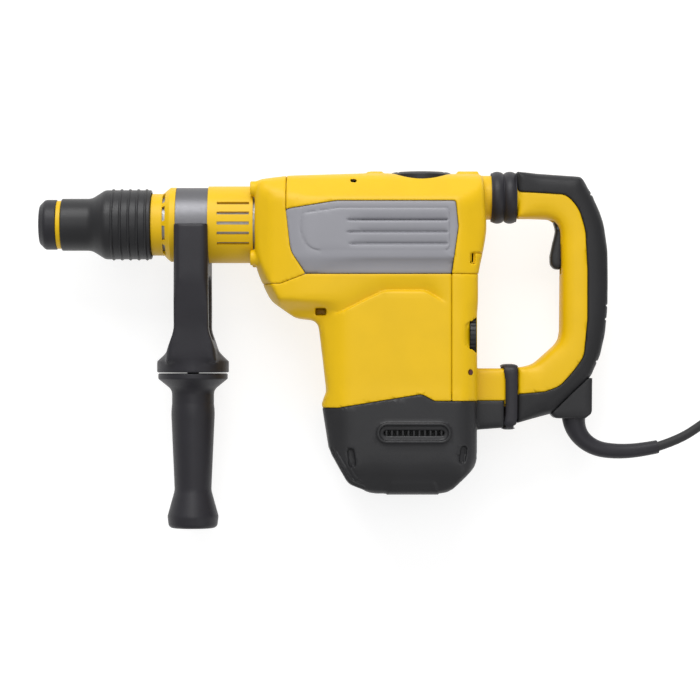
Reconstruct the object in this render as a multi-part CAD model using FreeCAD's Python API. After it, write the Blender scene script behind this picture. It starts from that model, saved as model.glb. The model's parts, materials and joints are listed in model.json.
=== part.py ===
"""Corded rotary hammer with an 18 mm bit socket, a clamped side handle and a sprung D-handle.

It lies on its right side: +X runs from the nose to the D-handle, +Y to the top of the tool in
use, and +Z out of its left side. Z 0 is the surface it lies on, and X 0 and Y 0 are the middle
of the tool's box. All sizes are in millimetres.
"""
import FreeCAD
import Part
import math
import os

V = FreeCAD.Vector

# ---- overall ----
LENGTH = 482.0            # nose to the back of the D-handle
HEIGHT = 303.0            # end of the side grip to the top of the upper boot
HALF_WIDTH = 52.0         # half the width across the flat sides
MID = HALF_WIDTH          # height of the tool's middle plane above the surface
NOSE_X = -LENGTH / 2
BACK_X = LENGTH / 2
TOP_Y = HEIGHT / 2
AXIS_DROP = 45.5          # spindle axis below the top
AXIS_Y = TOP_Y - AXIS_DROP
WALL = 3.0                # moulded walls
RUN = 0.05                # radial running clearance of shafts
GAP = 0.3                 # clearance between loose neighbours

# ---- bit holder ----
SOCKET_R = 9.05           # bit shank 18 mm
SOCKET_LENGTH = 85.0
CAP_LENGTH = 14.7
CAP_R = 21.2
CAP_FACE_R = 17.2
CAP_WALL = 4.5
RING_WIDTH = 3.9
RING_R = 20.4
SPINDLE_TIP_R = 17.0
SLEEVE_LENGTH = 76.3
SLEEVE_R = 22.1
SLEEVE_BACK_R = 29.4
SLEEVE_NECK = 25.5        # straight front part of the sleeve
SLEEVE_FLARE = 11.5
SLEEVE_WALL = 2.1
RIB_PITCH = 7.1
RIB_COUNT = 5
RIB_R = 0.9
SLEEVE_TRAVEL = 8.0

# ---- nose ----
NECK_R = 26.2
NECK_LENGTH = 9.5
FLARE_LENGTH = 6.5
COLLAR_R = 31.5
COLLAR_LENGTH = 5.2
BAND_WIDTH = 27.0
BAND_R = 31.3
BAND_THICK = 1.5
VENT_R = 32.6
VENT_LENGTH = 38.2
TUBE_R = BAND_R - BAND_THICK - GAP
TUBE_BORE_R = 26.0
SLOT_LONG = 27.0
SLOT_SHORT = 13.0
SLOT_WIDE = 2.5
SLOT_PITCH = 8.5          # spacing of the long slots round the collar

# ---- spindle train ----
SPINDLE_R = 20.0
CYLINDER_R = 15.0 + RUN
BOLT_R = 12.0
CRANK_X = 37.0
MOTOR_X = 63.0
COUNTER_X = 1.0           # intermediate shaft
CRANK_THROW = 11.0
ROD_LENGTH = 50.0
MODULE = 1.0
PINION_TEETH = 8
CRANK_TEETH = 44
STEP_TEETH = 16
COUNTER_TEETH = 56
BEVEL_TEETH = 12
RING_TEETH = 34
BEVEL_MODULE = 5.0 / 3.0
BEVEL_FACE = 6.0
PLATE_Y = 38.0
PLATE_THICK = 8.0

# ---- motor ----
STATOR_R = 42.0
STATOR_BORE_R = 25.0
ROTOR_R = 24.2
STACK_Y = -42.0
STACK_LENGTH = 56.0
SHAFT_R = 5.0
COMMUTATOR_R = 15.0
FAN_R = 39.0

# ---- housing ----
SPLIT_FRONT_X = -31.0     # front cover to top cover
SPLIT_REAR_X = 107.0      # motor housing to rear cover
DIAL_X = 82.5
DIAL_R = 28.0
STUB_Y = AXIS_Y + 23.0    # centre line of the upper handle arm
STUB_R = 18.7
STUB_END_X = 146.0
BOOT_R = TOP_Y - STUB_Y
BOOT_X0 = 142.0
BOOT_X1 = 163.5
PIVOT_X, PIVOT_Y = 158.0, -41.0
ARM_END_X = 151.0
PIN_R = 4.0

# ---- handles ----
HANDLE_HALF = 19.0
MOULD_HALF = 20.0
MOULD_THICK = 3.5
YOKE_X = -111.0           # side handle's middle
YOKE_BASE_Y = -19.5       # yoke's lower face
GRIP_END_Y = -TOP_Y
FLANGE_R = 30.5

# ---- mains lead ----
CORD_R = 4.0
SLEEVE_END_R = 5.7


# ---------------------------------------------------------------- helpers
def outline(corners, plane):
    """Face bounded by straight runs, each corner (a, b, r) rounded by a tangent arc of radius r."""
    place = {"XY": lambda a, b: V(a, b, 0), "ZY": lambda a, b: V(0, b, a), "XZ": lambda a,
             b: V(a, 0, b)}[plane]
    n = len(corners)
    edges, last, first = [], None, None
    for i, (a, b, r) in enumerate(corners):
        here = place(a, b)
        to_prev = (place(*corners[i - 1][:2]) - here).normalize()
        to_next = (place(*corners[(i + 1) % n][:2]) - here).normalize()
        half_turn = to_prev.getAngle(to_next) / 2
        if r > 0 and half_turn < math.pi / 2 - 1e-4:
            run = r / math.tan(half_turn)
            start, end = here + to_prev * run, here + to_next * run
            inward = (to_prev + to_next).normalize()
            middle = here + inward * (r / math.sin(half_turn) - r)
            arc = Part.Arc(start, middle, end).toShape()
        else:
            start, end, arc = here, here, None
        if last is not None and (start - last).Length > 1e-6:
            edges.append(Part.makeLine(last, start))
        if first is None:
            first = start
        if arc is not None:
            edges.append(arc)
        last = end
    if (first - last).Length > 1e-6:
        edges.append(Part.makeLine(last, first))
    return Part.Face(Part.Wire(edges))


def slab(corners, half, low=None):
    """Side outline in X and Y, thick along Z: middle plane +-half, or low to half above the middle plane."""
    low = -half if low is None else low
    return outline(corners, "XY").extrude(V(0, 0, half - low)).translate(V(0, 0, MID + low))


def front_slab(corners, x0, x1):
    """Outline of (Z from the middle plane, Y) corners, extruded along X."""
    return outline(corners, "ZY").extrude(V(x1 - x0, 0, 0)).translate(V(x0, 0, MID))


def plan_slab(corners, y0, y1):
    """Outline of (X, Z from the middle plane) corners, extruded along Y."""
    return outline(corners, "XZ").extrude(V(0, y1 - y0, 0)).translate(V(0, y0, MID))


def mirrored(corners):
    """Half an outline of (a, b, r), a given for the positive side, closed by its mirror image."""
    return corners + [(-a, b, r) for a, b, r in reversed(corners)]


def mirrored_b(corners):
    """As mirrored, for a plan outline whose second value changes sign."""
    return corners + [(a, -b, r) for a, b, r in reversed(corners)]


def box(x0, x1, y0, y1, half, low=None):
    low = -half if low is None else low
    return Part.makeBox(x1 - x0, y1 - y0, half - low, V(x0, y0, MID + low))


def rod_x(x0, x1, r, y=None, z=0.0):
    y = AXIS_Y if y is None else y
    return Part.makeCylinder(r, x1 - x0, V(x0, y, MID + z), V(1, 0, 0))


def tube_x(x0, x1, r, bore, y=None, z=0.0):
    return rod_x(x0, x1, r, y, z).cut(rod_x(x0 - 1, x1 + 1, bore, y, z))


def rod_y(x, y0, y1, r, z=0.0):
    return Part.makeCylinder(r, y1 - y0, V(x, y0, MID + z), V(0, 1, 0))


def tube_y(x, y0, y1, r, bore, z=0.0):
    return rod_y(x, y0, y1, r, z).cut(rod_y(x, y0 - 1, y1 + 1, bore, z))


def rod_z(x, y, z0, z1, r):
    return Part.makeCylinder(r, z1 - z0, V(x, y, MID + z0), V(0, 0, 1))


def turned_x(profile, y=None, z=0.0):
    """Solid of revolution about a line along X from (x, radius, corner radius) points."""
    y = AXIS_Y if y is None else y
    face = outline([(a, b, r) for a, b, r in profile], "XY")
    face.translate(V(0, y, MID + z))
    return face.revolve(V(0, y, MID + z), V(1, 0, 0), 360)


def turned_y(profile, x, z=0.0):
    """Solid of revolution about a line along Y from (radius, y, corner radius) points."""
    face = outline(profile, "XY")
    face.translate(V(x, 0, MID + z))
    return face.revolve(V(x, 0, MID + z), V(0, 1, 0), 360)


def joined(shapes):
    return shapes[0].fuse(shapes[1:]).removeSplitter() if len(shapes) > 1 else shapes[0]


def around_x(shape, count, start=0.0, turn=360.0):
    """Copies of a shape turned about the spindle axis."""
    copies = []
    for i in range(count):
        c = shape.copy()
        c.rotate(V(0, AXIS_Y, MID), V(1, 0, 0), start + i * turn / count)
        copies.append(c)
    return copies


def around_y(shape, x, count, start=0.0):
    copies = []
    for i in range(count):
        c = shape.copy()
        c.rotate(V(x, 0, MID), V(0, 1, 0), start + i * 360.0 / count)
        copies.append(c)
    return copies


def screw_z(x, y, z_head, length, r=2.0, head_r=4.0, head=3.0, way=-1):
    """Pan-head screw along Z with a cross-shaped socket; way -1 points its tip down."""
    tip = z_head + way * length
    shank = Part.makeCylinder(r, abs(length), V(x, y, MID + min(z_head, tip)), V(0, 0, 1))
    low = z_head if way < 0 else z_head - head
    crown = Part.makeCylinder(head_r, head, V(x, y, MID + low), V(0, 0, 1))
    face = low + head - 1.5 if way < 0 else low
    arm, blade = head_r * 0.6, 0.5
    cross = [Part.makeBox(2 * a, 2 * b, 1.5, V(x - a, y - b, MID + face)) for a,
             b in ((arm, blade), (blade, arm))]
    return shank.fuse(crown).removeSplitter().cut(cross)


def spring_x(x0, x1, r, wire_r, turns, y, z=0.0):
    """Round-wire compression spring along X."""
    pitch = (x1 - x0 - 2 * wire_r) / turns
    helix = Part.makeHelix(pitch, pitch * turns, r)
    profile = Part.Wire(Part.makeCircle(wire_r, V(r, 0, 0), V(0, 1, 0)))
    coil = Part.Wire(helix.Edges).makePipeShell([profile], True, True)
    coil.rotate(V(0, 0, 0), V(0, 1, 0), 90)
    coil.translate(V(x0 + wire_r, y, MID + z))
    return coil


# ---------------------------------------------------------------- gears
def gear_face(teeth, module, x, y, turn=0.0, backlash=0.12, shift=0.0):
    """Involute tooth outline as a face in the XZ plane at height y, centred on (x, MID)."""
    pitch_r = module * teeth / 2
    base_r = pitch_r * math.cos(math.radians(20))
    tip_r = pitch_r + 0.92 * module
    root_r = pitch_r - 1.2 * module
    inv = math.tan(math.radians(20)) - math.radians(20)
    half_tooth = (math.pi * module / 2 - backlash) / 2 / pitch_r + inv
    steps = 4
    low = max(base_r, root_r)
    flank = []
    for k in range(steps + 1):
        r = low + (tip_r - low) * k / steps
        a = math.acos(min(1.0, base_r / r))
        flank.append((r, half_tooth - (math.tan(a) - a)))
    if root_r < base_r:
        flank.insert(0, (root_r, flank[0][1]))
    points = []
    for t in range(teeth):
        mid = math.radians(turn) + 2 * math.pi * t / teeth
        side = [(r, mid - a) for r, a in flank] + [(r, mid + a) for r, a in reversed(flank)]
        points += [V(x + r * math.cos(a), y, MID + r * math.sin(a)) for r, a in side]
    return Part.Face(Part.makePolygon(points + points[:1]))


def spur_gear(teeth, module, x, y0, y1, turn=0.0):
    return gear_face(teeth, module, x, y0, turn).extrude(V(0, y1 - y0, 0))


def bevel_gap(distance, cone, dedendum, addendum, half_root, half_tip, face):
    """Tooth gap as a wedge that points to the cone's apex, at the origin, for a gear along +X."""
    def section(scale):
        along = V(math.cos(cone), math.sin(cone), 0)
        out = V(-math.sin(cone), math.cos(cone), 0)
        centre = along * distance * scale
        pts = [(-dedendum, half_root), (addendum, half_tip), (addendum, -half_tip), (-dedendum, -half_root)]
        ring = [centre + out * (d * scale) + V(0, 0, w * scale) for d, w in pts]
        return Part.makePolygon(ring + ring[:1])
    outer, inner = 1 + 1.5 / distance, 1 - (face + 1.5) / distance
    return Part.makeLoft([section(outer), section(inner)], True, True)


def bevel_gear(teeth, mate_teeth, bore, back, turn):
    """Straight bevel gear with its apex at the origin and its axis along +X from the apex."""
    pitch_r = BEVEL_MODULE * teeth / 2
    apart = BEVEL_MODULE * mate_teeth / 2
    cone = math.atan2(pitch_r, apart)
    distance = math.hypot(pitch_r, apart)
    add, ded = 0.85 * BEVEL_MODULE, 1.15 * BEVEL_MODULE
    along, out = (math.cos(cone), math.sin(cone)), (-math.sin(cone), math.cos(cone))

    def at(d, h):
        return (d * along[0] + h * out[0], d * along[1] + h * out[1], 0)

    heel_tip, heel_root = at(distance, add), at(distance, -ded - 2)
    toe_tip, toe_root = at(distance - BEVEL_FACE, add * (1 - BEVEL_FACE / distance)), at(distance - BEVEL_FACE, -ded)
    back_x = max(heel_tip[0], heel_root[0]) + back
    profile = [(toe_root[0], bore, 0), toe_root, toe_tip, heel_tip, (back_x, heel_tip[1], 0),
               (back_x, bore, 0)]
    blank = outline(profile, "XY").revolve(V(0, 0, 0), V(1, 0, 0), 360)
    quarter = math.pi * BEVEL_MODULE / 4
    slope = math.tan(math.radians(20))
    gap = bevel_gap(distance, cone, ded, add * 1.3, quarter + 0.25 - ded * slope,
                    quarter + 0.25 + add * 1.3 * slope, BEVEL_FACE)
    gaps = []
    for i in range(teeth):
        g = gap.copy()
        g.rotate(V(0, 0, 0), V(1, 0, 0), turn + 360.0 * i / teeth)
        gaps.append(g)
    return blank.cut(gaps)


def bearing_x(x0, width, bore, r):
    """Ball bearing on the spindle axis: two rings and their balls."""
    return bearing(V(x0, AXIS_Y, MID), V(1, 0, 0), width, bore, r)


def bearing_y(x, y0, width, bore, r):
    return bearing(V(x, y0, MID), V(0, 1, 0), width, bore, r)


def bearing(base, axis, width, bore, r):
    mean = (bore + r) / 2
    ball = (r - bore) * 0.27
    race = (r - bore) * 0.22
    inner = Part.makeCylinder(bore + race, width, base, axis).cut(Part.makeCylinder(bore, width, base, axis))
    outer = Part.makeCylinder(r, width, base, axis).cut(Part.makeCylinder(r - race, width, base, axis))
    middle = base + axis * (width / 2)
    side = axis.cross(V(0, 0, 1)).normalize()
    count = int(math.pi * mean / ball / 1.35)
    balls = []
    for i in range(count):
        b = Part.makeSphere(ball, middle + side * mean)
        b.rotate(middle, axis, 360.0 * i / count)
        balls.append(b)
    return [inner, outer] + balls


# ---------------------------------------------------------------- bit holder
CAP_X1 = NOSE_X + CAP_LENGTH
RING_X1 = CAP_X1 + RING_WIDTH
SLEEVE_X0 = RING_X1 + 0.2
SLEEVE_X1 = SLEEVE_X0 + SLEEVE_LENGTH
SPINDLE_X0 = NOSE_X + CAP_WALL
SOCKET_X1 = SPINDLE_X0 + SOCKET_LENGTH
BOLT_X0, BOLT_X1 = SOCKET_X1 + 2, SOCKET_X1 + 40
CYLINDER_X0, CYLINDER_X1 = SOCKET_X1 + 42, 10.0
GUIDE_R = SPINDLE_R - 1.3
NECK_X0 = SLEEVE_X1 + 0.3
FLARE_X0 = NECK_X0 + NECK_LENGTH
COLLAR_X0 = FLARE_X0 + FLARE_LENGTH
BAND_X0 = COLLAR_X0 + COLLAR_LENGTH
VENT_X0 = BAND_X0 + BAND_WIDTH
VENT_X1 = VENT_X0 + VENT_LENGTH
STOP_X = SLEEVE_X1 - 2.6    # collar that the sleeve's spring pushes against
STOP_R = 23.0
ROLLER_X = SLEEVE_X0 + 36.0
ROLLER_R = 4.0
ROLLER_HALF = 9.0
ROLLER_OUT = SOCKET_R + ROLLER_R + 1.0   # roller's centre from the axis


def dust_cap():
    edge = 5.0
    return turned_x([(NOSE_X, SOCKET_R + 0.8, 1), (NOSE_X, CAP_FACE_R - edge * 0.2, 3),
                     (NOSE_X + edge, CAP_R, 4),
                     (CAP_X1, CAP_R, 0.8), (CAP_X1, SPINDLE_TIP_R, 0), (SPINDLE_X0, SPINDLE_TIP_R, 0),
                     (SPINDLE_X0, SOCKET_R + 0.8, 0)])


def lock_ring():
    return turned_x([(CAP_X1, SPINDLE_TIP_R, 0), (CAP_X1, RING_R, 0.5), (RING_X1, RING_R, 0.5),
                     (RING_X1, SPINDLE_TIP_R, 0)])


def lock_sleeve():
    """Stepped sleeve with grip ribs round its wide back end."""
    neck_x = SLEEVE_X0 + SLEEVE_NECK
    wide_x = neck_x + SLEEVE_FLARE
    spring_wall_x = ROLLER_X + 14.0
    inner_r = SLEEVE_BACK_R - SLEEVE_WALL
    bore = GUIDE_R + RUN
    body = turned_x([(SLEEVE_X0, bore, 0), (SLEEVE_X0, SLEEVE_R, 1), (neck_x, SLEEVE_R, 12),
                     (wide_x, SLEEVE_BACK_R, 8),
                     (SLEEVE_X1, SLEEVE_BACK_R, 1), (SLEEVE_X1, inner_r, 0), (spring_wall_x, inner_r, 0),
                     (spring_wall_x, bore, 0)])
    room = tube_x(ROLLER_X - ROLLER_R - SLEEVE_TRAVEL - 0.5, ROLLER_X + ROLLER_R + 0.5, GUIDE_R + 1.5,
                  GUIDE_R - 1)
    first = SLEEVE_X1 - 4.0 - RIB_PITCH * (RIB_COUNT - 1)
    ribs = []
    for i in range(RIB_COUNT):
        x = first + i * RIB_PITCH
        ribs.append(Part.makeTorus(SLEEVE_BACK_R - 0.25, RIB_R + 0.3, V(x, AXIS_Y, MID), V(1, 0, 0)))
    clear = rod_x(SLEEVE_X0 - 1, SLEEVE_X1 + 5, inner_r)
    return body.fuse([r.cut(clear) for r in ribs]).cut(room)


def sleeve_spring():
    x0 = ROLLER_X + 14.0 + GAP
    return spring_x(x0, STOP_X - GAP, GUIDE_R + 2.6, 1.1, 4, AXIS_Y)


def spindle():
    """Tool socket, bolt guide and hammer cylinder in one tube."""
    outside = turned_x([(SPINDLE_X0, 0, 0), (SPINDLE_X0, SPINDLE_TIP_R, 0), (RING_X1, SPINDLE_TIP_R, 0),
                        (RING_X1, GUIDE_R, 0),
                        (STOP_X, GUIDE_R, 0), (STOP_X, STOP_R, 0.4), (STOP_X + 2.4, STOP_R, 0.4),
                        (STOP_X + 2.4, SPINDLE_R, 0),
                        (CYLINDER_X1, SPINDLE_R, 1), (CYLINDER_X1, 0, 0)])
    bores = [rod_x(SPINDLE_X0 - 1, SOCKET_X1 + 1, SOCKET_R), rod_x(SOCKET_X1, CYLINDER_X0, BOLT_R + RUN),
             rod_x(CYLINDER_X0, CYLINDER_X1 + 1, CYLINDER_R)]
    slot = joined([box(ROLLER_X - ROLLER_R - 0.5, ROLLER_X + ROLLER_R + 0.5, AXIS_Y + SOCKET_R - 1,
                       AXIS_Y + SPINDLE_R + 1,
                       ROLLER_HALF + 0.4)])
    return outside.cut(bores + around_x(slot, 2, 90))


def locking_rollers():
    roller = rod_z(ROLLER_X, AXIS_Y + ROLLER_OUT, -ROLLER_HALF, ROLLER_HALF, ROLLER_R)
    return around_x(roller, 2, 90)


def impact_bolt():
    return turned_x([(BOLT_X0, 0, 0), (BOLT_X0, 8.0, 1), (BOLT_X0 + 8, 8.0, 0), (BOLT_X0 + 11, BOLT_R, 0),
                     (BOLT_X1 - 10, BOLT_R, 0),
                     (BOLT_X1 - 8, 8.0, 0), (BOLT_X1, 8.0, 1), (BOLT_X1, 0, 0)])


STRIKER_X1 = -60.0
STRIKER_LENGTH = 38.0
PISTON_R = CYLINDER_R - RUN
WRIST_X = CRANK_X + CRANK_THROW - ROD_LENGTH
PISTON_X0, PISTON_X1 = WRIST_X - 24, WRIST_X + 10
WRIST_R = 4.0


def striker():
    x0 = STRIKER_X1 - STRIKER_LENGTH
    body = turned_x([(x0, 0, 0), (x0, 8, 1), (x0 + 6, 8, 0), (x0 + 8, PISTON_R, 0),
                     (STRIKER_X1, PISTON_R, 1), (STRIKER_X1, 0, 0)])
    grooves = [tube_x(x, x + 2.4, PISTON_R + 1, PISTON_R - 1.6) for x in (STRIKER_X1 - 8, STRIKER_X1 - 14)]
    return body.cut(grooves)


def piston():
    body = rod_x(PISTON_X0, PISTON_X1, PISTON_R)
    hollow = rod_x(PISTON_X0 + 12, PISTON_X1 + 1, 11.0)
    cross_hole = rod_y(WRIST_X, AXIS_Y - PISTON_R - 1, AXIS_Y + PISTON_R + 1, WRIST_R)
    groove = tube_x(PISTON_X0 + 3.5, PISTON_X0 + 6, PISTON_R + 1, PISTON_R - 1.6)
    return body.cut([hollow, cross_hole, groove])


def wrist_pin():
    return rod_y(WRIST_X, AXIS_Y - 14.4, AXIS_Y + 14.4, WRIST_R)


WEB_TOP_Y = AXIS_Y - 10.0
EYE_HALF = 5.0
CRANK_PIN_R = 4.0


def con_rod():
    """Rod with its two eyes, and the crank pin held in the big eye."""
    big_x = WRIST_X + ROD_LENGTH
    beam = box(WRIST_X + 3, big_x - 3, AXIS_Y - 3.5, AXIS_Y + 3.5, 4.5)
    eyes = [rod_y(WRIST_X, AXIS_Y - EYE_HALF, AXIS_Y + EYE_HALF, 7.0),
            rod_y(big_x, AXIS_Y - EYE_HALF, AXIS_Y + EYE_HALF, 9.5)]
    holes = [rod_y(WRIST_X, AXIS_Y - 20, AXIS_Y + 20, WRIST_R + RUN),
             rod_y(big_x, AXIS_Y - 20, AXIS_Y + 20, CRANK_PIN_R)]
    pin = rod_y(big_x, WEB_TOP_Y + 0.4, AXIS_Y + EYE_HALF + 1, CRANK_PIN_R)
    return [joined([beam] + eyes).cut(holes), pin]


# ---------------------------------------------------------------- gear train
CRANK_GEAR_Y = 60.0
STEP_Y = 49.0
COUNTER_Y = 50.0
JOURNAL_R = 5.0
COUNTER_R = 6.0
CRANK_SHAFT_R = 8.0
WEB_Y = WEB_TOP_Y - 8.0


def crank_gear():
    """Crank shaft with its web, driven wheel and small step pinion."""
    wheel = spur_gear(CRANK_TEETH, MODULE, CRANK_X, CRANK_GEAR_Y, CRANK_GEAR_Y + 6)
    step = spur_gear(STEP_TEETH, MODULE, CRANK_X, STEP_Y, STEP_Y + 8, 180.0 / STEP_TEETH)
    shaft = rod_y(CRANK_X, PLATE_Y + 1, STEP_Y, JOURNAL_R)
    hub = rod_y(CRANK_X, STEP_Y + 8, CRANK_GEAR_Y, STEP_TEETH * MODULE / 2 - 1.2)
    upper = rod_y(CRANK_X, CRANK_GEAR_Y + 6, WEB_Y, CRANK_SHAFT_R)
    web = rod_y(CRANK_X, WEB_Y, WEB_TOP_Y, CRANK_THROW + CRANK_PIN_R + 3)
    hole = rod_y(CRANK_X + CRANK_THROW, WEB_Y - 1, WEB_TOP_Y + 1, CRANK_PIN_R)
    return joined([wheel, step, shaft, hub, upper, web]).cut(hole)


def intermediate_gear():
    wheel = spur_gear(COUNTER_TEETH, MODULE, COUNTER_X, COUNTER_Y, COUNTER_Y + 6)
    return wheel.cut(rod_y(COUNTER_X, COUNTER_Y - 1, COUNTER_Y + 7, COUNTER_R))


BEVEL_APEX = V(COUNTER_X, AXIS_Y, MID)


def bevel_pinion():
    gear = bevel_gear(BEVEL_TEETH, RING_TEETH, 0.0, 0.5, 0.0)
    gear.rotate(V(0, 0, 0), V(0, 0, 1), -90)
    gear.translate(BEVEL_APEX)
    heel_y = AXIS_Y - BEVEL_MODULE * RING_TEETH / 2 - 1.0
    shaft = rod_y(COUNTER_X, STEP_Y, heel_y, COUNTER_R)
    journal = rod_y(COUNTER_X, PLATE_Y + 1, STEP_Y, JOURNAL_R)
    return joined([gear, shaft, journal])


def ring_gear():
    gear = bevel_gear(RING_TEETH, BEVEL_TEETH, SPINDLE_R, 7.0, 180.0 / RING_TEETH)
    gear.rotate(V(0, 0, 0), V(0, 0, 1), 180)
    gear.translate(BEVEL_APEX)
    return gear


def gear_plate():
    """Bearing plate between the gearbox and the motor."""
    plate = plan_slab(mirrored_b([(2, 38, 8), (104, 38, 8)]), PLATE_Y, PLATE_Y + PLATE_THICK)
    holes = [rod_y(CRANK_X, PLATE_Y - 1, PLATE_Y + 20, JOURNAL_R + RUN),
             rod_y(COUNTER_X, PLATE_Y - 1, PLATE_Y + 20, JOURNAL_R + RUN),
             rod_y(MOTOR_X, PLATE_Y - 1, PLATE_Y + 20, 11.0)]
    lobe = rod_y(COUNTER_X, PLATE_Y, PLATE_Y + PLATE_THICK, 14.0)
    return joined([plate, lobe]).cut(holes)


def ball_bearings():
    """Ball bearings of the armature, crank and intermediate shafts and of the spindle."""
    return (bearing_y(MOTOR_X, PLATE_Y, 7, SHAFT_R + RUN, 11.0) + bearing_y(MOTOR_X, STACK_Y - 42, 7,
                                                                            SHAFT_R - 1 + RUN, 11.0)
            + bearing_y(CRANK_X, 74.0, 9, CRANK_SHAFT_R + RUN, 16.0) + bearing_y(COUNTER_X, 59.0, 7,
                                                                                 COUNTER_R + RUN, 12.0)
            + bearing_x(BAND_X0 + 4, 7, SPINDLE_R + RUN, TUBE_BORE_R) + bearing_x(-45.0, 12, SPINDLE_R + RUN,
                                                                                  TUBE_BORE_R))


# ---------------------------------------------------------------- motor
def armature_shaft():
    """Motor shaft with its cut pinion at the top."""
    pinion = spur_gear(PINION_TEETH, MODULE, MOTOR_X, 57.0, 69.0, 180.0 / PINION_TEETH)
    upper = rod_y(MOTOR_X, STACK_Y - 34, 57.0, SHAFT_R)
    lower = rod_y(MOTOR_X, STACK_Y - 44, STACK_Y - 34, SHAFT_R - 1)
    return joined([pinion, upper, lower])


def armature_core():
    """Laminated rotor with its winding heads."""
    stack = tube_y(MOTOR_X, STACK_Y, STACK_Y + STACK_LENGTH, ROTOR_R, SHAFT_R)
    slot = box(MOTOR_X + ROTOR_R - 2, MOTOR_X + ROTOR_R + 1, STACK_Y - 1, STACK_Y + STACK_LENGTH + 1, 0.8)
    heads = [tube_y(MOTOR_X, STACK_Y + STACK_LENGTH, STACK_Y + STACK_LENGTH + 5, 19.0, SHAFT_R),
             tube_y(MOTOR_X, STACK_Y - 7, STACK_Y, 19.0, SHAFT_R)]
    return joined([stack.cut(around_y(slot, MOTOR_X, 12))] + heads)


def commutator():
    body = tube_y(MOTOR_X, STACK_Y - 26, STACK_Y - 8, COMMUTATOR_R, SHAFT_R)
    cut = box(MOTOR_X + COMMUTATOR_R - 1, MOTOR_X + COMMUTATOR_R + 1, STACK_Y - 27, STACK_Y - 10, 0.3)
    return body.cut(around_y(cut, MOTOR_X, 24))


def fan():
    y0 = STACK_Y + STACK_LENGTH + 7
    disc = tube_y(MOTOR_X, y0, y0 + 2, FAN_R, SHAFT_R)
    hub = tube_y(MOTOR_X, y0 + 2, y0 + 12, 9, SHAFT_R)
    blade = box(MOTOR_X + 14, MOTOR_X + FAN_R - 1, y0 + 2, y0 + 11, 0.8)
    return joined([disc, hub] + around_y(blade, MOTOR_X, 18))


def stator_core():
    return tube_y(MOTOR_X, STACK_Y, STACK_Y + STACK_LENGTH, STATOR_R, STATOR_BORE_R)


def field_coils():
    top, bottom = STACK_Y + STACK_LENGTH, STACK_Y
    return [tube_y(MOTOR_X, top, top + 6, 39.0, 27.0), tube_y(MOTOR_X, bottom - 6, bottom, 39.0, 27.0)]


BRUSH_Y = STACK_Y - 17.0


def brush_holders():
    """Two brass holders on the plate that carries them."""
    plate = tube_y(MOTOR_X, BRUSH_Y + 5.5, BRUSH_Y + 8.5, 39.0, COMMUTATOR_R + 2)
    holder = box(-3.5 + MOTOR_X, 3.5 + MOTOR_X, BRUSH_Y - 5.5, BRUSH_Y + 5.5, 38, COMMUTATOR_R + 2)
    bore = box(-2.5 + MOTOR_X, 2.5 + MOTOR_X, BRUSH_Y - 4.5, BRUSH_Y + 4.5, 36, COMMUTATOR_R)
    return joined([plate] + around_y(holder.cut(bore), MOTOR_X, 2))


def carbon_brushes():
    brush = box(MOTOR_X - 2.4, MOTOR_X + 2.4, BRUSH_Y - 4.4, BRUSH_Y + 4.4, 31, COMMUTATOR_R + 0.1)
    return around_y(brush, MOTOR_X, 2)


def control_module():
    return [box(45, 95, -112, -98, 27), box(52, 60, -98, -92, 6), speed_control()]


# ---------------------------------------------------------------- nose and housing
NOSE_TUBE_X1 = -47.0
LUGS = [(y, z) for y in (AXIS_Y + 29.0, AXIS_Y - 29.0) for z in (26.0, -26.0)]
LUG_X0 = VENT_X1 - 2.3
SCREW_SEAT_X = LUG_X0 + 3.4   # the heads sit in counterbores, below the lugs' faces


def nose_tube():
    """Cast tube that carries the front bearing and the side handle."""
    front_r, front_bore = NECK_R - 2.4, SPINDLE_R + 1.5
    step_x = COLLAR_X0 - 1.0
    return turned_x([(NECK_X0 + 2.2, front_bore, 0), (NECK_X0 + 2.2, front_r, 0), (step_x, front_r, 0),
                     (step_x, TUBE_R, 0),
                     (NOSE_TUBE_X1, TUBE_R, 0), (NOSE_TUBE_X1, TUBE_BORE_R, 0),
                     (BAND_X0 + 4, TUBE_BORE_R, 0),
                     (BAND_X0 + 4, front_bore, 0)])


def neck_cover():
    """Front ring with its flare and a ring of short slots."""
    x1 = BAND_X0 - 0.2
    body = turned_x([(NECK_X0, SPINDLE_R + 1.5, 0), (NECK_X0, NECK_R, 0.6), (FLARE_X0, NECK_R, 3),
                     (COLLAR_X0, COLLAR_R, 1),
                     (x1, COLLAR_R, 0.4), (x1, SPINDLE_R + 1.5, 0)])
    inner = rod_x(NECK_X0 + 2, x1 + 1, NECK_R - 2.2)
    seat = rod_x(COLLAR_X0 - 1, x1 + 1, TUBE_R)
    slot = box(FLARE_X0 + 0.2, FLARE_X0 + 0.2 + SLOT_WIDE, AXIS_Y + NECK_R - 6, AXIS_Y + COLLAR_R + 3,
               SLOT_SHORT / 2)
    return body.cut([inner, seat] + around_x(slot, 10, 72.0))


def vent_collar():
    """Ring behind the side handle with five long slots on each side."""
    body = tube_x(VENT_X0, VENT_X1, VENT_R, TUBE_R)
    slot = box(VENT_X0 + 8, VENT_X0 + 8 + SLOT_LONG, AXIS_Y + TUBE_R - 1, AXIS_Y + VENT_R + 1, SLOT_WIDE / 2)
    slots = []
    for side in (90.0, -90.0):
        for k in range(-2, 3):
            s = slot.copy()
            s.rotate(V(0, AXIS_Y, MID), V(1, 0, 0), side + math.degrees(math.asin(k * SLOT_PITCH / VENT_R)))
            slots.append(s)
    return body.cut(slots)


SEAM_Y = 63.0             # side panels' lower edge, top cover to motor housing
CAP_SEAM_Y = -43.0
HOUSING_BACK_X = 129.5
BASE_Y = -121.5

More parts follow.
